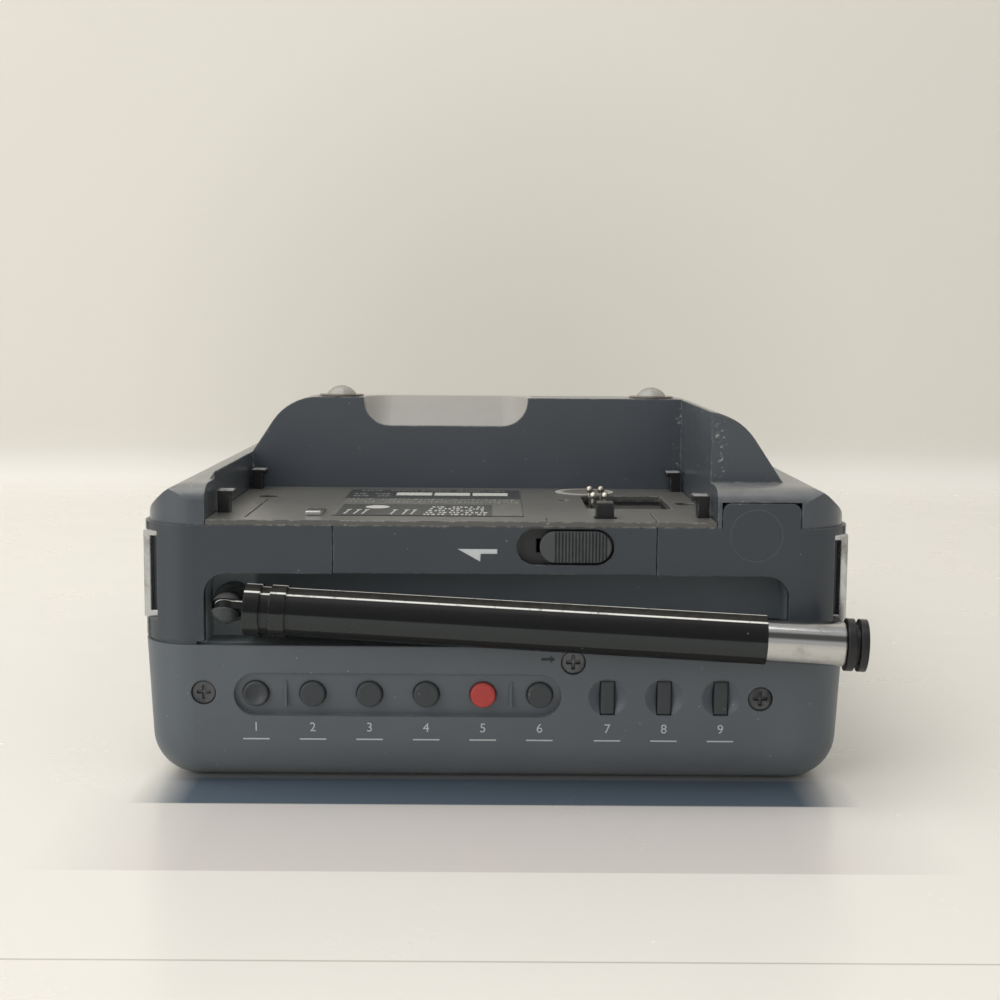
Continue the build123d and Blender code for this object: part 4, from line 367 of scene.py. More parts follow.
def touch_up(look, share, colour, roughness=None):
    """Another colour, and another roughness if given, over the share of the surface."""
    tree = look.node_tree
    shader = tree.nodes["Principled BSDF"]
    below = shader.inputs["Base Color"].links[0].from_socket
    tree.links.new(blend_paint(tree, 300, 300, share, below, colour), shader.inputs["Base Color"])
    if roughness is not None:
        below = shader.inputs["Roughness"].links[0].from_socket
        smooth = set_out(tree, "ShaderNodeMix", 300, 0)
        tree.links.new(share, smooth.inputs[0])
        tree.links.new(below, smooth.inputs[2])
        smooth.inputs[3].default_value = roughness
        tree.links.new(smooth.outputs[0], shader.inputs["Roughness"])


def object_place(look):
    """A material's object coordinates."""
    return look.node_tree.nodes["Texture Coordinate"].outputs["Object"]


def clad(look, *nodes):
    """The named solids get this material and no other."""
    for node in nodes:
        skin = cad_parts[node].data.materials
        skin.clear()
        skin.append(look)


RELEASE_RECESS = ((4.2, -100.8, 40.4), (22.2, -96.0, 47.5))
HARD_EDGE = 0.1
# Its upward faces carry a pale film, partly dust and partly painted sheen.
shell_dark = moulded_plastic(
    "shell_dark", paint(50, 57, 64), paint(124, 124, 120), 0.46, 0.18,
    wear=0.9, film=0.2, sheen=0.4, sheen_blur=0.3,
)
tree = shell_dark.node_tree
# The release slide's recess is painted darker, as painted shade.
painted_recess_shade = inside_box(tree, -1200, -900, object_place(shell_dark), *RELEASE_RECESS, HARD_EDGE)
touch_up(shell_dark, painted_recess_shade, paint(30, 32, 34))
clad(shell_dark, "middle_shell", "rear_panel")

# Antenna bay: a trough moulded behind the rear wall, where a finger lifts the antenna. It is
# painted lighter than the black plastic, as painted light in its shade, and its left end, around
# the knuckle, is lighter still with more painted light.
BAY_LEFT_END = ((-60.0, -110.0, 20.0), (-45.0, -80.0, 42.0))
bay_black = moulded_plastic(
    "bay_black", paint(112, 120, 124), paint(120, 120, 118), 0.5, 0.2, wear=0.4, film=0.3
)
tree = bay_black.node_tree
# Painted light on the trough's shaded left end.
painted_left_end_light = inside_box(tree, -1200, -900, object_place(bay_black), *BAY_LEFT_END, 1.0)
touch_up(bay_black, painted_left_end_light, paint(170, 180, 182))
clad(bay_black, "antenna_bay")

# Lower shell: the same plastic in a lighter grey, with a drafted wall all round.
shell_lower = moulded_plastic(
    "shell_lower", paint(87, 94, 100), paint(132, 132, 128), 0.5, 0.2,
    wear=0.35, sheen=0.3, sheen_blur=0.3,
)
clad(shell_lower, "lower_shell")

# Top cover: the hump over the deck, with the two lids, the bridge and the finger scoop.
# Fingers have polished the scoop, whose paler colour is painted sheen, and the battery has
# scuffed the bay's two cheeks.
SCOOP = ((-29.0, -42.5, 60.0), (7.5, -31.0, 70.0))
RIGHT_CHEEK = ((38.8, -96.0, 49.0), (41.6, -40.0, 69.0))
LEFT_CHEEK = ((-54.2, -99.0, 49.0), (-51.8, -42.0, 60.0))
SCRATCH_SIZE = 0.9 * MM
hump_plastic = moulded_plastic(
    "hump_plastic", paint(64, 71, 78), paint(148, 146, 140), 0.4, 0.16,
    film=0.16, sheen=0.6, sheen_blur=0.28,
)
clad(hump_plastic, "screen_lid", "cassette_door")
# The cover's heavier pale film on its upward faces is partly dust and partly painted sheen.
cover_plastic = moulded_plastic(
    "cover_plastic", paint(64, 71, 78), paint(166, 164, 156), 0.4, 0.16,
    wear=0.8, film=0.34, sheen=0.8, sheen_blur=0.28,
)
tree = cover_plastic.node_tree
place = object_place(cover_plastic)
# Painted sheen: the scoop's paler colour, over its smoother finish.
polish_and_painted_sheen = inside_box(tree, -1200, -900, place, *SCOOP, HARD_EDGE)
polish_and_painted_sheen = sum_up(tree, "MULTIPLY", -300, -900, polish_and_painted_sheen, 0.7)
touch_up(cover_plastic, polish_and_painted_sheen, paint(158, 154, 147), 0.3)
scratched = speckle(tree, -1200, -1300, place, SCRATCH_SIZE, 6.0, 0.75)
scratched = step(tree, -1000, -1300, scratched, 0.56, 0.66)
for cheek in (RIGHT_CHEEK, LEFT_CHEEK):
    rubbed = inside_box(tree, -1200, -1600, place, *cheek, 1.2)
    rubbed = sum_up(tree, "MULTIPLY", -300, -1500, rubbed, scratched)
    touch_up(cover_plastic, rubbed, paint(176, 176, 170))
clad(cover_plastic, "top_cover")

# Battery platform: near-black glass-filled plate, dulled by dust, with the sunk contact
# block. The four hooks and the peg are black and worn bright on top.
HOOK_TOPS = ((-60.0, -100.0, 52.68), (50.0, -40.0, 54.0))
platform_black = moulded_plastic(
    "platform_black", paint(84, 83, 79), paint(200, 197, 188), 0.32, 0.16,
    wear=1.0, film=0.12, specks=0.7, sheen=0.5, sheen_blur=0.28,
)
clad(platform_black, "battery_platform")
block_black = moulded_plastic(
    "block_black", paint(34, 35, 35), paint(120, 118, 112), 0.36, 0.12, specks=0.6
)
clad(block_black, "contact_block")
hook_black = moulded_plastic(
    "hook_black", paint(26, 26, 27), paint(190, 188, 182), 0.34, 0.08, wear=0.5
)
tree = hook_black.node_tree
place = object_place(hook_black)
tops = inside_box(tree, -1200, -900, place, *HOOK_TOPS, HARD_EDGE)
patchy = speckle(tree, -1200, -1200, place, 1.2 * MM, 4.0, 0.6)
patchy = step(tree, -900, -1200, patchy, 0.36, 0.5)
worn_tops = sum_up(tree, "MULTIPLY", -300, -1100, tops, patchy)
touch_up(hook_black, worn_tops, paint(150, 150, 146), 0.3)
clad(hook_black, "battery_hooks", "lock_peg")

# Key deck, screen bezel, speaker grille, cassette tray and the controls on the two long
# sides: black trim with a satin face.
trim_black = moulded_plastic(
    "trim_black", paint(34, 35, 37), paint(96, 96, 94), 0.34, 0.1, wear=0.4, sheen=0.2
)
clad(trim_black, "key_deck", "screen_bezel", "speaker_grille", "cassette_tray")
clad(trim_black, "volume_wheel", "power_switch", "eject_slider")

# Release slide: a black sliding plate with a ribbed dark grey knob.
slide_plastic = moulded_plastic(
    "slide_plastic", paint(72, 75, 77), paint(130, 130, 126), 0.4, 0.06, wear=0.2, specks=0.15
)
clad(slide_plastic, "release_slide")

# Keys: six round timer buttons, the fifth of them red, three narrow keys sunk in their
# slots and the five function keys on the deck, all moulded in one grey but the red one.
key_grey = moulded_plastic(
    "key_grey", paint(60, 64, 67), paint(120, 120, 116), 0.42, 0.1, wear=0.5
)
clad(key_grey, *["timer_button_%d" % n for n in (1, 2, 3, 4, 6)])
clad(key_grey, *["recessed_key_%d" % n for n in range(1, 4)])
clad(key_grey, *["function_key_%d" % n for n in range(1, 6)])
key_red = moulded_plastic(
    "key_red", paint(184, 66, 62), paint(214, 120, 112), 0.42, 0.1, wear=0.4, film=0.08
)
clad(key_red, "timer_button_5")


# Antenna: a glossy black sleeve on a dark grey knuckle. Two bright lines along the sleeve are
# painted highlights, a brownish band lies between them, and a painted reflection of the table
# greys its underside.
HIGHLIGHT_LINES_AT = (52.5, 87.0)
BAND_AT = 69.5
UNDERSIDE_AT = -16.0
antenna_black = moulded_plastic(
    "antenna_black", paint(25, 26, 26), paint(110, 108, 104), 0.3, 0.03,
    wear=0.5, film=0.02, specks=0.3, level=0.12,
)
knuckle_grey = moulded_plastic(
    "knuckle_grey", paint(66, 69, 70), paint(120, 120, 116), 0.28, 0.03, level=0.3
)
clad(knuckle_grey, "antenna_knuckle")
ROD_AT = (-48.4 * MM, -100.7 * MM, 32.5 * MM)
ROD_ALONG = (0.997469, -0.057514, -0.041806)


def rod_angle(tree, place):
    """The angle around the folded antenna's axis, from straight out of the rear and up."""
    from_rod = set_out(tree, "ShaderNodeVectorMath", -1200, -900, operation="SUBTRACT")
    from_rod.inputs[1].default_value = ROD_AT
    tree.links.new(place, from_rod.inputs[0])
    outwards = Vector((ROD_ALONG[1], -ROD_ALONG[0], 0.0)).normalized()
    upwards = Vector(ROD_ALONG).cross(outwards).normalized()
    reach = []
    for y, direction in ((-900, outwards), (-1050, upwards * (1 if upwards.z > 0 else -1))):
        part = set_out(tree, "ShaderNodeVectorMath", -1000, y, operation="DOT_PRODUCT")
        part.inputs[1].default_value = direction
        tree.links.new(from_rod.outputs[0], part.inputs[0])
        reach.append(part.outputs["Value"])
    return sum_up(tree, "ARCTAN2", -800, -950, reach[1], reach[0])


def along_line(tree, y, angle, at, outer, inner, share=1.0):
    """A share held along a line around the rod, all its angles given in degrees."""
    apart = sum_up(tree, "SUBTRACT", -800, y, angle, radians(at))
    apart = sum_up(tree, "ABSOLUTE", -650, y, apart)
    return step(tree, -500, y, apart, radians(outer), radians(inner), 0.0, share)


sleeve_black = antenna_black.copy()
sleeve_black.name = "sleeve_black"
tree = sleeve_black.node_tree
place = object_place(sleeve_black)
angle = rod_angle(tree, place)
flecks = speckle(tree, -1000, -1300, place, 1.4 * MM, 5.0, 0.7)
# A brownish band between the two bright lines, rougher than the rest.
brown_band = along_line(tree, -1150, angle, BAND_AT, 18.0, 16.5)
thin = step(tree, -800, -1300, flecks, 0.3, 0.6, 0.2, 0.75)
brown_band = sum_up(tree, "MULTIPLY", -350, -1150, brown_band, thin)
touch_up(sleeve_black, brown_band, paint(64, 61, 56), 0.5)
# Painted reflection of the table on the sleeve's underside.
painted_table_reflection = along_line(tree, -1900, angle, UNDERSIDE_AT, 21.0, 18.0, 0.85)
touch_up(sleeve_black, painted_table_reflection, paint(62, 65, 65))
# Painted highlights: two bright lines along the sleeve.
highlight_flecks = step(tree, -500, -1700, flecks, 0.3, 0.46, 0.35, 1.0)
for line_angle in HIGHLIGHT_LINES_AT:
    painted_highlight = along_line(tree, -1500, angle, line_angle, 3.4, 1.8)
    painted_highlight = sum_up(tree, "MULTIPLY", -350, -1500, painted_highlight, highlight_flecks)
    touch_up(sleeve_black, painted_highlight, paint(240, 238, 230), 0.4)
clad(sleeve_black, "antenna_sleeve")


def plated_metal(name, colour, tarnish, roughness, streak, along=(1.0, 1.0, 1.0)):
    """Metal with fine drawn or turned streaks, a little tarnish and rounded edges."""
    look = bpy.data.materials.new(name)
    look.use_nodes = True
    tree = look.node_tree
    shader = tree.nodes["Principled BSDF"]
    shader.location = (500, 0)
    shader.inputs["Metallic"].default_value = 1.0
    place = set_out(tree, "ShaderNodeTexCoord", -1300, 0).outputs["Object"]
    stretch = set_out(tree, "ShaderNodeMapping", -1100, 200)
    stretch.inputs["Scale"].default_value = along
    tree.links.new(place, stretch.inputs["Vector"])
    lines = speckle(tree, -900, 200, stretch.outputs[0], 0.25 * MM, 3.0, 0.6)
    clouds = speckle(tree, -900, -100, place, 6.0 * MM, 4.0, 0.6)
    spots = step(tree, -700, -100, clouds, 0.5, 0.72)
    edges = set_out(tree, "ShaderNodeGroup", -900, -350, node_tree=worn_edge)
    tree.links.new(place, edges.inputs["Vector"])
    plate = blend_paint(tree, -400, 200, spots, colour, tarnish)
    tree.links.new(plate, shader.inputs["Base Color"])
    dull = step(tree, -700, 50, lines, 0.3, 0.7, roughness - 0.04, roughness + 0.06)
    spread = sum_up(tree, "MULTIPLY", -550, -150, spots, 0.12)
    tree.links.new(sum_up(tree, "ADD", -350, -100, dull, spread), shader.inputs["Roughness"])
    relief = set_out(tree, "ShaderNodeBump", 200, -400)
    relief.inputs["Strength"].default_value = streak
    relief.inputs["Distance"].default_value = 0.05 * MM
    tree.links.new(lines, relief.inputs["Height"])
    tree.links.new(edges.outputs["Normal"], relief.inputs["Normal"])
    tree.links.new(relief.outputs[0], shader.inputs["Normal"])
    return look


chrome_plate = plated_metal(
    "chrome_plate", paint(196, 195, 192), paint(150, 146, 138), 0.12, 0.03, (0.08, 1.0, 1.0)
)
clad(chrome_plate, "antenna_tube_2")

# First tube: the same chrome with a dark line along it, a painted reflection.
first_tube = chrome_plate.copy()
first_tube.name = "first_tube"
tree = first_tube.node_tree
angle = rod_angle(tree, object_place(first_tube))
# Painted dark reflection along the tube.
painted_dark_reflection = along_line(tree, -1100, angle, 24.0, 11.0, 5.0, 0.85)
touch_up(first_tube, painted_dark_reflection, paint(58, 57, 58))
clad(first_tube, "antenna_tube_1")

# Tip: the last tube's end carries a black ribbed cap.
CAP_FROM = 66.3
tip_tube = chrome_plate.copy()
tip_tube.name = "tip_tube"
tree = tip_tube.node_tree
along_rod = set_out(tree, "ShaderNodeVectorMath", -1000, -700, operation="DOT_PRODUCT")
along_rod.inputs[1].default_value = ROD_ALONG
tree.links.new(object_place(tip_tube), along_rod.inputs[0])
along_rod = along_rod.outputs["Value"]
cap = step(tree, -800, -700, along_rod, (CAP_FROM - 0.02) * MM, (CAP_FROM + 0.02) * MM)
touch_up(tip_tube, cap, paint(18, 18, 19), 0.34)
plated = step(tree, -600, -700, cap, 0.0, 1.0, 1.0, 0.0)
tree.links.new(plated, tree.nodes["Principled BSDF"].inputs["Metallic"])
clad(tip_tube, "antenna_tube_3")

# Strap bars, pins, springs, screws and contacts: satin chrome, zinc-plated steel,
# blackened screws and bright contact tips.
satin_chrome = plated_metal(
    "satin_chrome", paint(206, 206, 204), paint(140, 138, 132), 0.2, 0.08, (1.0, 1.0, 0.1)
)
clad(satin_chrome, "strap_bars")
zinc_steel = plated_metal("zinc_steel", paint(120, 119, 116), paint(74, 70, 64), 0.34, 0.15)
clad(zinc_steel, "hinge_pins", "capstan", "door_spring", "tuner_box")
black_steel = plated_metal("black_steel", paint(94, 96, 98), paint(50, 50, 50), 0.3, 0.1)
clad(black_steel, "case_screws")
contact_silver = plated_metal(
    "contact_silver", paint(214, 210, 200), paint(160, 150, 130), 0.22, 0.05
)
clad(contact_silver, "contact_pins")

# Deck: a stamped aluminium chassis and a turned head drum.
deck_aluminium = plated_metal(
    "deck_aluminium", paint(176, 176, 172), paint(140, 138, 132), 0.3, 0.12, (1.0, 0.06, 1.0)
)
clad(deck_aluminium, "deck_chassis", "head_drum")

# Reels and idler: white acetal wheels, driven by a ground black rubber belt.
acetal = moulded_plastic(
    "acetal", paint(206, 203, 194), paint(226, 224, 216), 0.4, 0.08, wear=0.3
)
clad(acetal, "idler_wheel", "supply_reel", "takeup_reel")
belt_rubber = moulded_plastic(
    "belt_rubber", paint(30, 30, 30), paint(70, 70, 68), 0.62, 0.3, film=0.05
)
clad(belt_rubber, "drive_belt")

# Jacks and speaker: black plastic bodies that stand behind the side wall and the grille.
jack_black = moulded_plastic(
    "jack_black", paint(36, 36, 38), paint(90, 90, 88), 0.3, 0.08, sheen=0.2
)
clad(jack_black, "side_jacks", "speaker")


# Bumpers: two clear elastomer domes on the ledge, each moulded with a thin round foot
# that is glued down. The lid rests against them when it is open.
DOME_X, DOME_Y = 33.5, -37.7
FOOT_R, FOOT_BASE, FOOT_TOP, FOOT_EDGE = 4.75, 67.3, 68.35, 0.12
DOME_R, DOME_TOP = 3.2, 70.2
DOME_SIDES, DOME_RINGS = 48, 13


def drop_in(name, shape, look, body):
    """The mesh as a piece of the part, on its body and with its slot."""
    mesh = bpy.data.meshes.new(name)
    shape.to_mesh(mesh)
    shape.free()
    piece = bpy.data.objects.new(name, mesh)
    scene.collection.objects.link(piece)
    mesh.materials.append(look)
    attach(piece, body)
    return piece


bumper_clear = moulded_plastic(
    "bumper_clear", paint(190, 187, 176), paint(216, 212, 200), 0.2, 0.06,
    film=0.06, sheen=0.3,
)
tree = bumper_clear.node_tree
tree.nodes["Principled BSDF"].inputs["Transmission Weight"].default_value = 0.3
# Painted shade darkens the domes where they are seen edge on.
painted_rim_shade = set_out(tree, "ShaderNodeLayerWeight", -1200, -1200)
painted_rim_shade = step(tree, -1000, -1200, painted_rim_shade.outputs["Facing"], 0.45, 0.9, 0.0, 0.8)
touch_up(bumper_clear, painted_rim_shade, paint(112, 108, 98))
height = set_out(tree, "ShaderNodeSeparateXYZ", -1200, -900)
tree.links.new(object_place(bumper_clear), height.inputs[0])
low, high = (FOOT_TOP + 0.05) * MM, (FOOT_TOP + 0.11) * MM
foot = step(tree, -1000, -900, height.outputs["Z"], high, low)
touch_up(bumper_clear, foot, paint(104, 92, 82))
clad(bumper_clear, "lid_bumpers")
rise = DOME_TOP - FOOT_TOP
ball_r = (DOME_R**2 + rise**2) / (2 * rise)
outline = [(FOOT_R, FOOT_BASE), (FOOT_R, FOOT_TOP - FOOT_EDGE), (FOOT_R - FOOT_EDGE, FOOT_TOP)]
for part in range(DOME_RINGS):
    slope = asin(DOME_R / ball_r) * (1 - part / (DOME_RINGS - 0.6))
    outline.append((ball_r * sin(slope), DOME_TOP - ball_r + ball_r * cos(slope)))
around = [2 * pi * n / DOME_SIDES for n in range(DOME_SIDES)]
shape = bmesh.new()
for middle in (-DOME_X, DOME_X):
    rings = [
        [
            shape.verts.new(Vector((middle + r * cos(a), DOME_Y + r * sin(a), z)) * MM)
            for a in around
        ]
        for r, z in outline
    ]
    for low, high in zip(rings, rings[1:]):
        for n in range(DOME_SIDES):
            shape.faces.new((low[n - 1], low[n], high[n], high[n - 1])).smooth = True
    shape.faces.new(rings[0][::-1])
    shape.faces.new(rings[-1])
domes = drop_in("bumper_domes", shape, bumper_clear, "case")
domes.data.set_sharp_from_angle(angle=radians(35))
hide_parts("lid_bumpers")

# Data label: dark film with a blackened field at its lower end and one across its top.
LOWER_FIELD = ((-29.4, -95.6, 48.0), (-0.8, -76.4, 49.0))
TOP_FIELD = ((-42.0, -66.5, 48.0), (4.8, -48.0, 49.0))
label_film = moulded_plastic(
    "label_film", paint(92, 91, 87), paint(120, 118, 112), 0.3, 0.08,
    wear=0.5, sheen=0.5, sheen_blur=0.28,
)
tree = label_film.node_tree
for field in (LOWER_FIELD, TOP_FIELD):
    blackened = inside_box(tree, -1200, -900, object_place(label_film), *field, HARD_EDGE)
    touch_up(label_film, blackened, paint(56, 57, 57))
clad(label_film, "data_label")


# Circuit boards: green solder mask over copper tracks with tinned pads.
def printed_board(name, mask, track):
    """Glass-fibre board with tracks and pads under its solder mask."""
    look = bpy.data.materials.new(name)
    look.use_nodes = True
    tree = look.node_tree
    shader = tree.nodes["Principled BSDF"]
    shader.location = (500, 0)
    shader.inputs["Coat Weight"].default_value = 0.4
    place = set_out(tree, "ShaderNodeTexCoord", -1300, 0).outputs["Object"]
    runs = set_out(
        tree, "ShaderNodeTexBrick", -900, 200, offset=0.37, squash=0.6, squash_frequency=3
    )
    spacing = {"Scale": 90.0, "Mortar Size": 0.03, "Brick Width": 1.4, "Row Height": 0.25}
    for port, value in spacing.items():
        runs.inputs[port].default_value = value
    tree.links.new(place, runs.inputs["Vector"])
    pads = set_out(tree, "ShaderNodeTexVoronoi", -900, -150)
    pads.inputs["Scale"].default_value = 1.0 / (3.2 * MM)
    pads.inputs["Randomness"].default_value = 0.7
    tree.links.new(place, pads.inputs["Vector"])
    tinned = step(tree, -650, -150, pads.outputs["Distance"], 0.2, 0.16)
    body = blend_paint(tree, -600, 200, runs.outputs["Fac"], mask, track)
    body = blend_paint(tree, -300, 150, tinned, body, paint(176, 174, 166))
    tree.links.new(body, shader.inputs["Base Color"])
    dull = step(tree, -300, -150, tinned, 0.0, 1.0, 0.38, 0.22)
    tree.links.new(dull, shader.inputs["Roughness"])
    relief = set_out(tree, "ShaderNodeBump", 200, -400)
    relief.inputs["Strength"].default_value = 0.4
    relief.inputs["Distance"].default_value = 0.05 * MM
    tree.links.new(runs.outputs["Fac"], relief.inputs["Height"])
    tree.links.new(relief.outputs[0], shader.inputs["Normal"])
    return look


green_board = printed_board("green_board", paint(34, 84, 58), paint(70, 130, 84))
clad(green_board, "main_board", "timer_board", "key_board")


# Window and screen: clear acrylic over the cassette, and a smoked panel in the lid.
def clear_sheet(name, colour, roughness, clearness):
    """Acrylic or glass with faint wiping smears."""
    look = bpy.data.materials.new(name)
    look.use_nodes = True
    tree = look.node_tree
    shader = tree.nodes["Principled BSDF"]
    shader.location = (500, 0)
    shader.inputs["Transmission Weight"].default_value = clearness
    shader.inputs["IOR"].default_value = 1.49
    place = set_out(tree, "ShaderNodeTexCoord", -1300, 0).outputs["Object"]
    smears = speckle(tree, -900, 0, place, 12.0 * MM, 5.0, 0.6)
    dull = step(tree, -600, 0, smears, 0.45, 0.7, roughness, roughness + 0.12)
    tree.links.new(dull, shader.inputs["Roughness"])
    tint = tuple(shade * 0.9 for shade in colour[:3]) + (1.0,)
    body = blend_paint(tree, -600, 250, smears, colour, tint)
    tree.links.new(body, shader.inputs["Base Color"])
    return look


acrylic = clear_sheet("acrylic", paint(214, 220, 222), 0.03, 0.92)
clad(acrylic, "door_window")
smoked_screen = clear_sheet("smoked_screen", paint(26, 28, 32), 0.05, 0.0)
clad(smoked_screen, "lcd_panel")


# Printing on the rear: plain numbers with a rule under the nine keys, a half arrow by the
# release slide, a small dark arrow at the middle screw and a witness ring on the tab, all
# screen printed a few hundredths thick.
INK_T = 0.03 * MM
DRAFT = 3.0
BASE_TOP = 25.8
print_ink, dark_ink, faint_ink = [
    moulded_plastic(name, colour, worn, 0.5, 0.05, film=0.1, specks=0.1)
    for name, colour, worn in (
        ("print_ink", paint(202, 206, 206), paint(120, 122, 122)),
        ("dark_ink", paint(40, 43, 45), paint(60, 62, 62)),
        ("faint_ink", paint(88, 93, 95), paint(100, 102, 102)),
    )
]


def flat_print(name, outlines, lift, look, body):
    """Flat ink areas, given by their corners, raised by a small lift into closed slabs."""
    shape = bmesh.new()
    for outline in outlines:
        shape.faces.new([shape.verts.new(corner) for corner in outline])
    bmesh.ops.remove_doubles(shape, verts=shape.verts[:], dist=0.0005 * MM)
    made = bmesh.ops.extrude_face_region(shape, geom=shape.faces[:], use_keep_orig=True)
    raised = [part for part in made["geom"] if isinstance(part, bmesh.types.BMVert)]
    bmesh.ops.translate(shape, verts=raised, vec=lift)
    bmesh.ops.recalc_face_normals(shape, faces=shape.faces[:])
    return drop_in(name, shape, look, body)


def drafted(x, z, out=0.0):
    """A point on the lower shell's sloping rear wall, in metres from millimetres."""
    return Vector((x * MM, REAR_FACE_Y + (BASE_TOP - z) * MM * tan(radians(DRAFT)) - out, z * MM))


def on_rear(x, z):
    """A point on the upright rear face, in metres from millimetres."""
    return Vector((x * MM, REAR_FACE_Y, z * MM))


def lettered(name, words, height, at, look, body):
    """Short plain characters as thin ink, upright on the drafted rear wall at a point."""
    curve = bpy.data.curves.new(name, "FONT")
    curve.body = words
    curve.size = height
    curve.align_x = "CENTER"
    curve.extrude = INK_T / 2
    draft = bpy.data.objects.new(name + "_draft", curve)
    scene.collection.objects.link(draft)
    bpy.context.view_layer.update()
    mesh = bpy.data.meshes.new_from_object(draft)
    bpy.data.objects.remove(draft)
    mesh.transform(Matrix.Rotation(radians(90 + DRAFT), 4, "X"))
    mesh.transform(Matrix.Translation(at))
    shape = bmesh.new()
    shape.from_mesh(mesh)
    bpy.data.meshes.remove(mesh)
    return drop_in(name, shape, look, body)


OUT = (0, -INK_T, 0)
TIMER_X0 = -43.3
KEY_X0 = 20.4
KEY_PITCH = 10.28
NUMBER_Z, NUMBER_H = 9.9, 2.4
RULE_LOW, RULE_HIGH, RULE_HALF = 8.3, 8.55, 2.4
HALF_ARROW = ((-6.9, 43.6), (-2.85, 41.35), (-2.75, 42.75), (0.2, 42.75), (0.2, 43.6))
SMALL_ARROW = (
    (8.3, 23.35), (9.9, 23.35), (9.9, 22.9), (10.8, 23.6), (9.9, 24.3), (9.9, 23.85), (8.3, 23.85)
)
RING_X, RING_Z, RING_IN, RING_OUT, RING_PARTS = 46.6, 46.3, 4.6, 4.74, 64
numbered = [TIMER_X0 + n * KEY_PITCH for n in range(6)]
numbered += [KEY_X0 + n * KEY_PITCH for n in range(3)]
for count, x in enumerate(numbered, 1):
    at = drafted(x, NUMBER_Z, INK_T)
    lettered(
        "key_number_%d" % count, str(count), NUMBER_H * MM, at, print_ink, "case"
    )
    left, right = x - RULE_HALF, x + RULE_HALF
    corners = ((left, RULE_LOW), (right, RULE_LOW), (right, RULE_HIGH), (left, RULE_HIGH))
    rule = [drafted(*corner) for corner in corners]
    flat_print("key_rule_%d" % count, [rule], OUT, print_ink, "case")

half_arrow = [on_rear(x, z) for x, z in HALF_ARROW]
flat_print("release_arrow", [half_arrow], OUT, print_ink, "case")
small_arrow = [drafted(x, z) for x, z in SMALL_ARROW]
flat_print("screw_arrow", [small_arrow], OUT, dark_ink, "case")
ring = []
for part in range(RING_PARTS):
    start, end = 2 * pi * part / RING_PARTS, 2 * pi * (part + 1) / RING_PARTS
    corners = ((RING_IN, start), (RING_IN, end), (RING_OUT, end), (RING_OUT, start))
    ring.append([on_rear(RING_X + r * cos(a), RING_Z + r * sin(a)) for r, a in corners])
flat_print("tab_ring", ring, OUT, faint_ink, "case")

# Label print: three white fields, a pale oval and rows of plain strokes. They stand where
# the real label has lettering, and say nothing.
UP = (0, 0, INK_T)
LABEL_Z = 48.75
FIELD_NEAR, FIELD_FAR = 40.8, 46.2
LETTER_WIDTHS = (0.62, 0.84, 1.1, 0.7, 0.96, 0.58, 1.24, 0.78)
CODE_LEFT, CODE_RIGHT, CODE_NEAR, CODE_TALL, CODE_STEP = -13.4, -2.2, 7.6, 1.8, 3.0
BARS_AT = (-28.2, -26.4, -24.9, -19.6, -17.4, -15.9)
BAR_NEAR, BAR_FAR, BAR_W = 8.4, 15.0, 0.36
OVAL_X, OVAL_NEAR, OVAL_HALF, OVAL_TALL, OVAL_SIDES = -22.6, 20.0, 2.3, 2.6, 40
label_ink, label_grey = [
    moulded_plastic(name, colour, worn, 0.45, 0.04, film=0.05, specks=0.1)
    for name, colour, worn in (
        ("label_ink", paint(196, 196, 190), paint(150, 150, 146)),
        ("label_grey", paint(128, 128, 122), paint(110, 110, 106)),
    )
]


def label_point(x, inwards):
    """A point on the label, so far in from the rear face, in metres from millimetres."""
    return Vector((x * MM, REAR_FACE_Y + inwards * MM, LABEL_Z * MM))


def on_label(left, near, right, far, lean=0.0):
    """A four-cornered field on the label, from its near left corner to its far right one."""
    corners = ((left, near), (right, near), (right + lean, far), (left + lean, far))
    return [label_point(*corner) for corner in corners]


fields = [
    on_label(left, FIELD_NEAR, right, FIELD_FAR)
    for left, right in ((-20.4, -13.1), (-12.6, -5.3), (-4.8, 2.4))
]
flat_print("label_fields", fields, UP, label_ink, "case")
strokes = []
for row, (near, far, left, right) in enumerate((
    (27.6, 30.0, -29.4, 4.2),
    (32.0, 34.4, -29.6, 4.2),
    (49.2, 50.6, -28.0, 2.0),
    (38.6, 40.6, -29.0, -21.6),
    (42.6, 44.4, -29.0, -21.6),
)):
    x, count = left, row
    while x < right:
        wide = LETTER_WIDTHS[count % len(LETTER_WIDTHS)]
        strokes.append(on_label(x, near, min(x + wide * 0.62, right), far, 0.25))
        x += wide * (2.2 if count % 7 == 6 else 1.0)
        count += 1
flat_print("label_rows", strokes, UP, label_grey, "case")
strokes = []
for row in range(5):
    x, count = CODE_LEFT + 0.3 * row, 3 * row
    near = CODE_NEAR + CODE_STEP * row
    while x < CODE_RIGHT:
        wide = LETTER_WIDTHS[count % len(LETTER_WIDTHS)]
        strokes.append(on_label(x, near, x + wide * 0.6, near + CODE_TALL))
        x += wide * (1.9 if count % 5 == 4 else 1.0)
        count += 1
for left in BARS_AT:
    strokes.append(on_label(left, BAR_NEAR, left + BAR_W, BAR_FAR, 0.5))
    strokes.append(on_label(left + 0.2, BAR_FAR - 0.1, left + 1.1, BAR_FAR + 0.8))
flat_print("label_strokes", strokes, UP, label_ink, "case")
around = [2 * pi * part / OVAL_SIDES for part in range(OVAL_SIDES)]
oval = [label_point(OVAL_X + OVAL_HALF * cos(a), OVAL_NEAR + OVAL_TALL * sin(a)) for a in around]
flat_print("label_oval", [oval], UP, label_ink, "case")

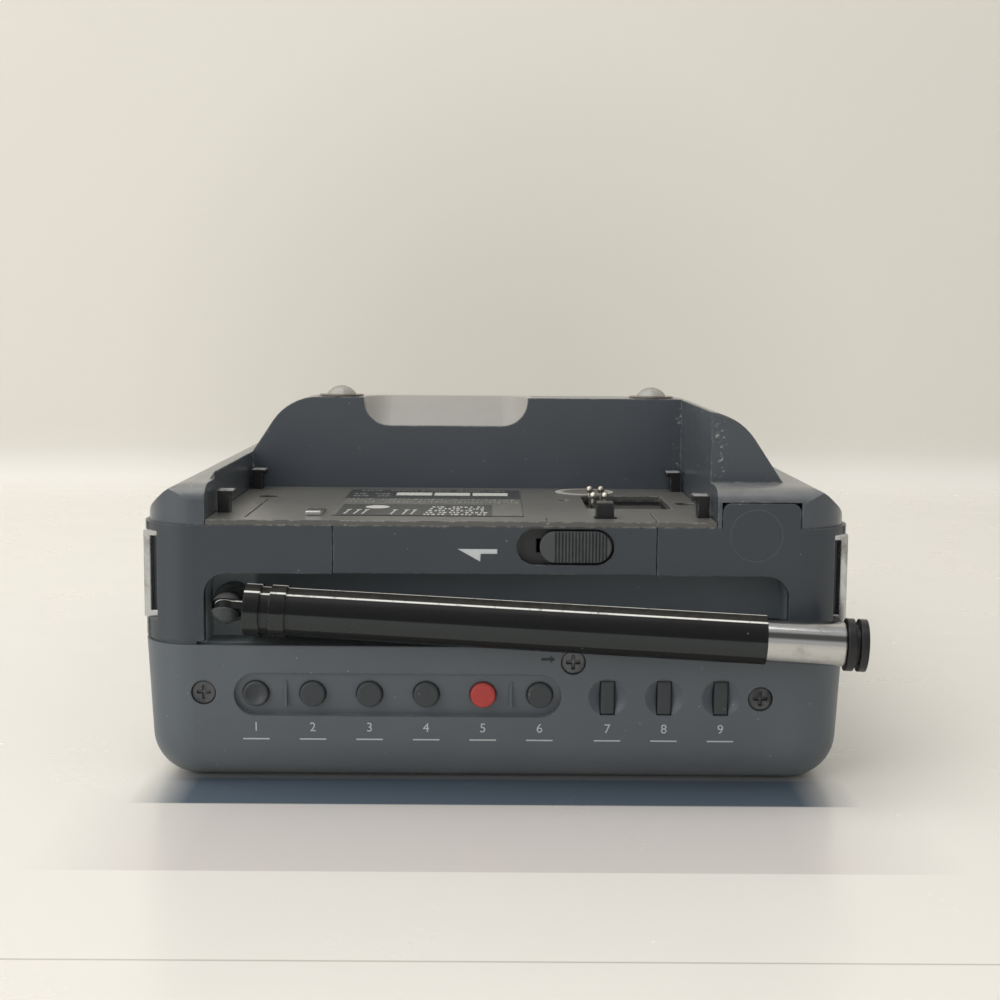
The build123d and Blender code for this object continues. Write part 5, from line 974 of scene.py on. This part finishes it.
# Sticker: a rubbed paper disc stuck to the platform behind the pins, greyer in the middle.
PLATFORM_TOP = 48.6
DISC_AT = Vector((18.6 * MM, REAR_FACE_Y + 51.0 * MM, PLATFORM_TOP * MM))
DISC_R, DISC_T, DISC_TAPER, DISC_SIDES = 6.2, 0.12, 0.985, 72
paper = moulded_plastic(
    "paper", paint(168, 165, 156), paint(214, 211, 202), 0.6, 0.1, wear=1.0, film=0.3
)
tree = paper.node_tree
from_centre = set_out(tree, "ShaderNodeVectorMath", -1200, -900, operation="DISTANCE")
from_centre.inputs[1].default_value = DISC_AT + Vector((0, 0, 0.1 * MM))
tree.links.new(object_place(paper), from_centre.inputs[0])
middle = step(tree, -900, -900, from_centre.outputs["Value"], 5.4 * MM, 4.2 * MM)
touch_up(paper, middle, paint(104, 102, 96))
shape = bmesh.new()
bmesh.ops.create_circle(shape, cap_ends=True, segments=DISC_SIDES, radius=DISC_R * MM)
made = bmesh.ops.extrude_face_region(shape, geom=shape.faces[:], use_keep_orig=True)
raised = [part for part in made["geom"] if isinstance(part, bmesh.types.BMVert)]
bmesh.ops.translate(shape, verts=raised, vec=(0, 0, DISC_T * MM))
for corner in raised:
    corner.co.xy *= DISC_TAPER
bmesh.ops.recalc_face_normals(shape, faces=shape.faces[:])
bmesh.ops.translate(shape, verts=shape.verts[:], vec=DISC_AT)
drop_in("paper_disc", shape, paper, "case")

# Tongue: a bare steel tongue that stands a little out of its slot by the label, ramped
# towards the hump and with its edges broken.
TONGUE_AT = Vector((-33.4 * MM, REAR_FACE_Y + 6.4 * MM, PLATFORM_TOP * MM))
TONGUE_HALF_W, TONGUE_EDGE = 1.4, 0.12
TONGUE_SIDE = ((0.0, 0.0), (10.4, 0.0), (10.4, 0.25), (4.6, 0.9), (0.0, 0.9))
shape = bmesh.new()
near, far = [
    [shape.verts.new((x * MM, along * MM, up * MM)) for along, up in TONGUE_SIDE]
    for x in (-TONGUE_HALF_W, TONGUE_HALF_W)
]
shape.faces.new(near)
shape.faces.new(far)
for n in range(len(TONGUE_SIDE)):
    shape.faces.new((near[n], near[n - 1], far[n - 1], far[n]))
bmesh.ops.recalc_face_normals(shape, faces=shape.faces[:])
bmesh.ops.bevel(
    shape, geom=shape.edges[:], offset=TONGUE_EDGE * MM, affect="EDGES",
    segments=2, profile=0.5, material=-1,
)
bmesh.ops.translate(shape, verts=shape.verts[:], vec=TONGUE_AT)
drop_in("platform_tongue", shape, satin_chrome, "case")

# Key symbols: a plain sign in pale ink on each function key, which moves with its key.
KEY_TOP = 58.55 * MM
KEY_MIDDLE_Y = 20.8 * MM
FUNCTION_X0 = -38.0
FUNCTION_PITCH = 12.6
signs = (
    [((0.2, 0), (2.0, 1.1), (2.0, -1.1)), ((-1.8, 0), (0.0, 1.1), (0.0, -1.1))],
    [((1.0, -1.2), (-1.2, 0.0), (1.0, 1.2))],
    [((-0.2, 0), (-2.0, -1.1), (-2.0, 1.1)), ((1.8, 0), (0.0, -1.1), (0.0, 1.1))],
    [((-1.0, -1.0), (1.0, -1.0), (1.0, 1.0), (-1.0, 1.0))],
    [
        ((-1.0, -1.1), (-0.35, -1.1), (-0.35, 1.1), (-1.0, 1.1)),
        ((0.35, -1.1), (1.0, -1.1), (1.0, 1.1), (0.35, 1.1)),
    ],
)
for number, sign in enumerate(signs, 1):
    key_x = FUNCTION_X0 + FUNCTION_PITCH * (number - 1)
    centre = Vector((key_x * MM, KEY_MIDDLE_Y, KEY_TOP))
    areas = [[centre + Vector((x * MM, y * MM, 0)) for x, y in area] for area in sign]
    body = "function_key_%d_body" % number
    flat_print("key_sign_%d" % number, areas, UP, print_ink, body)
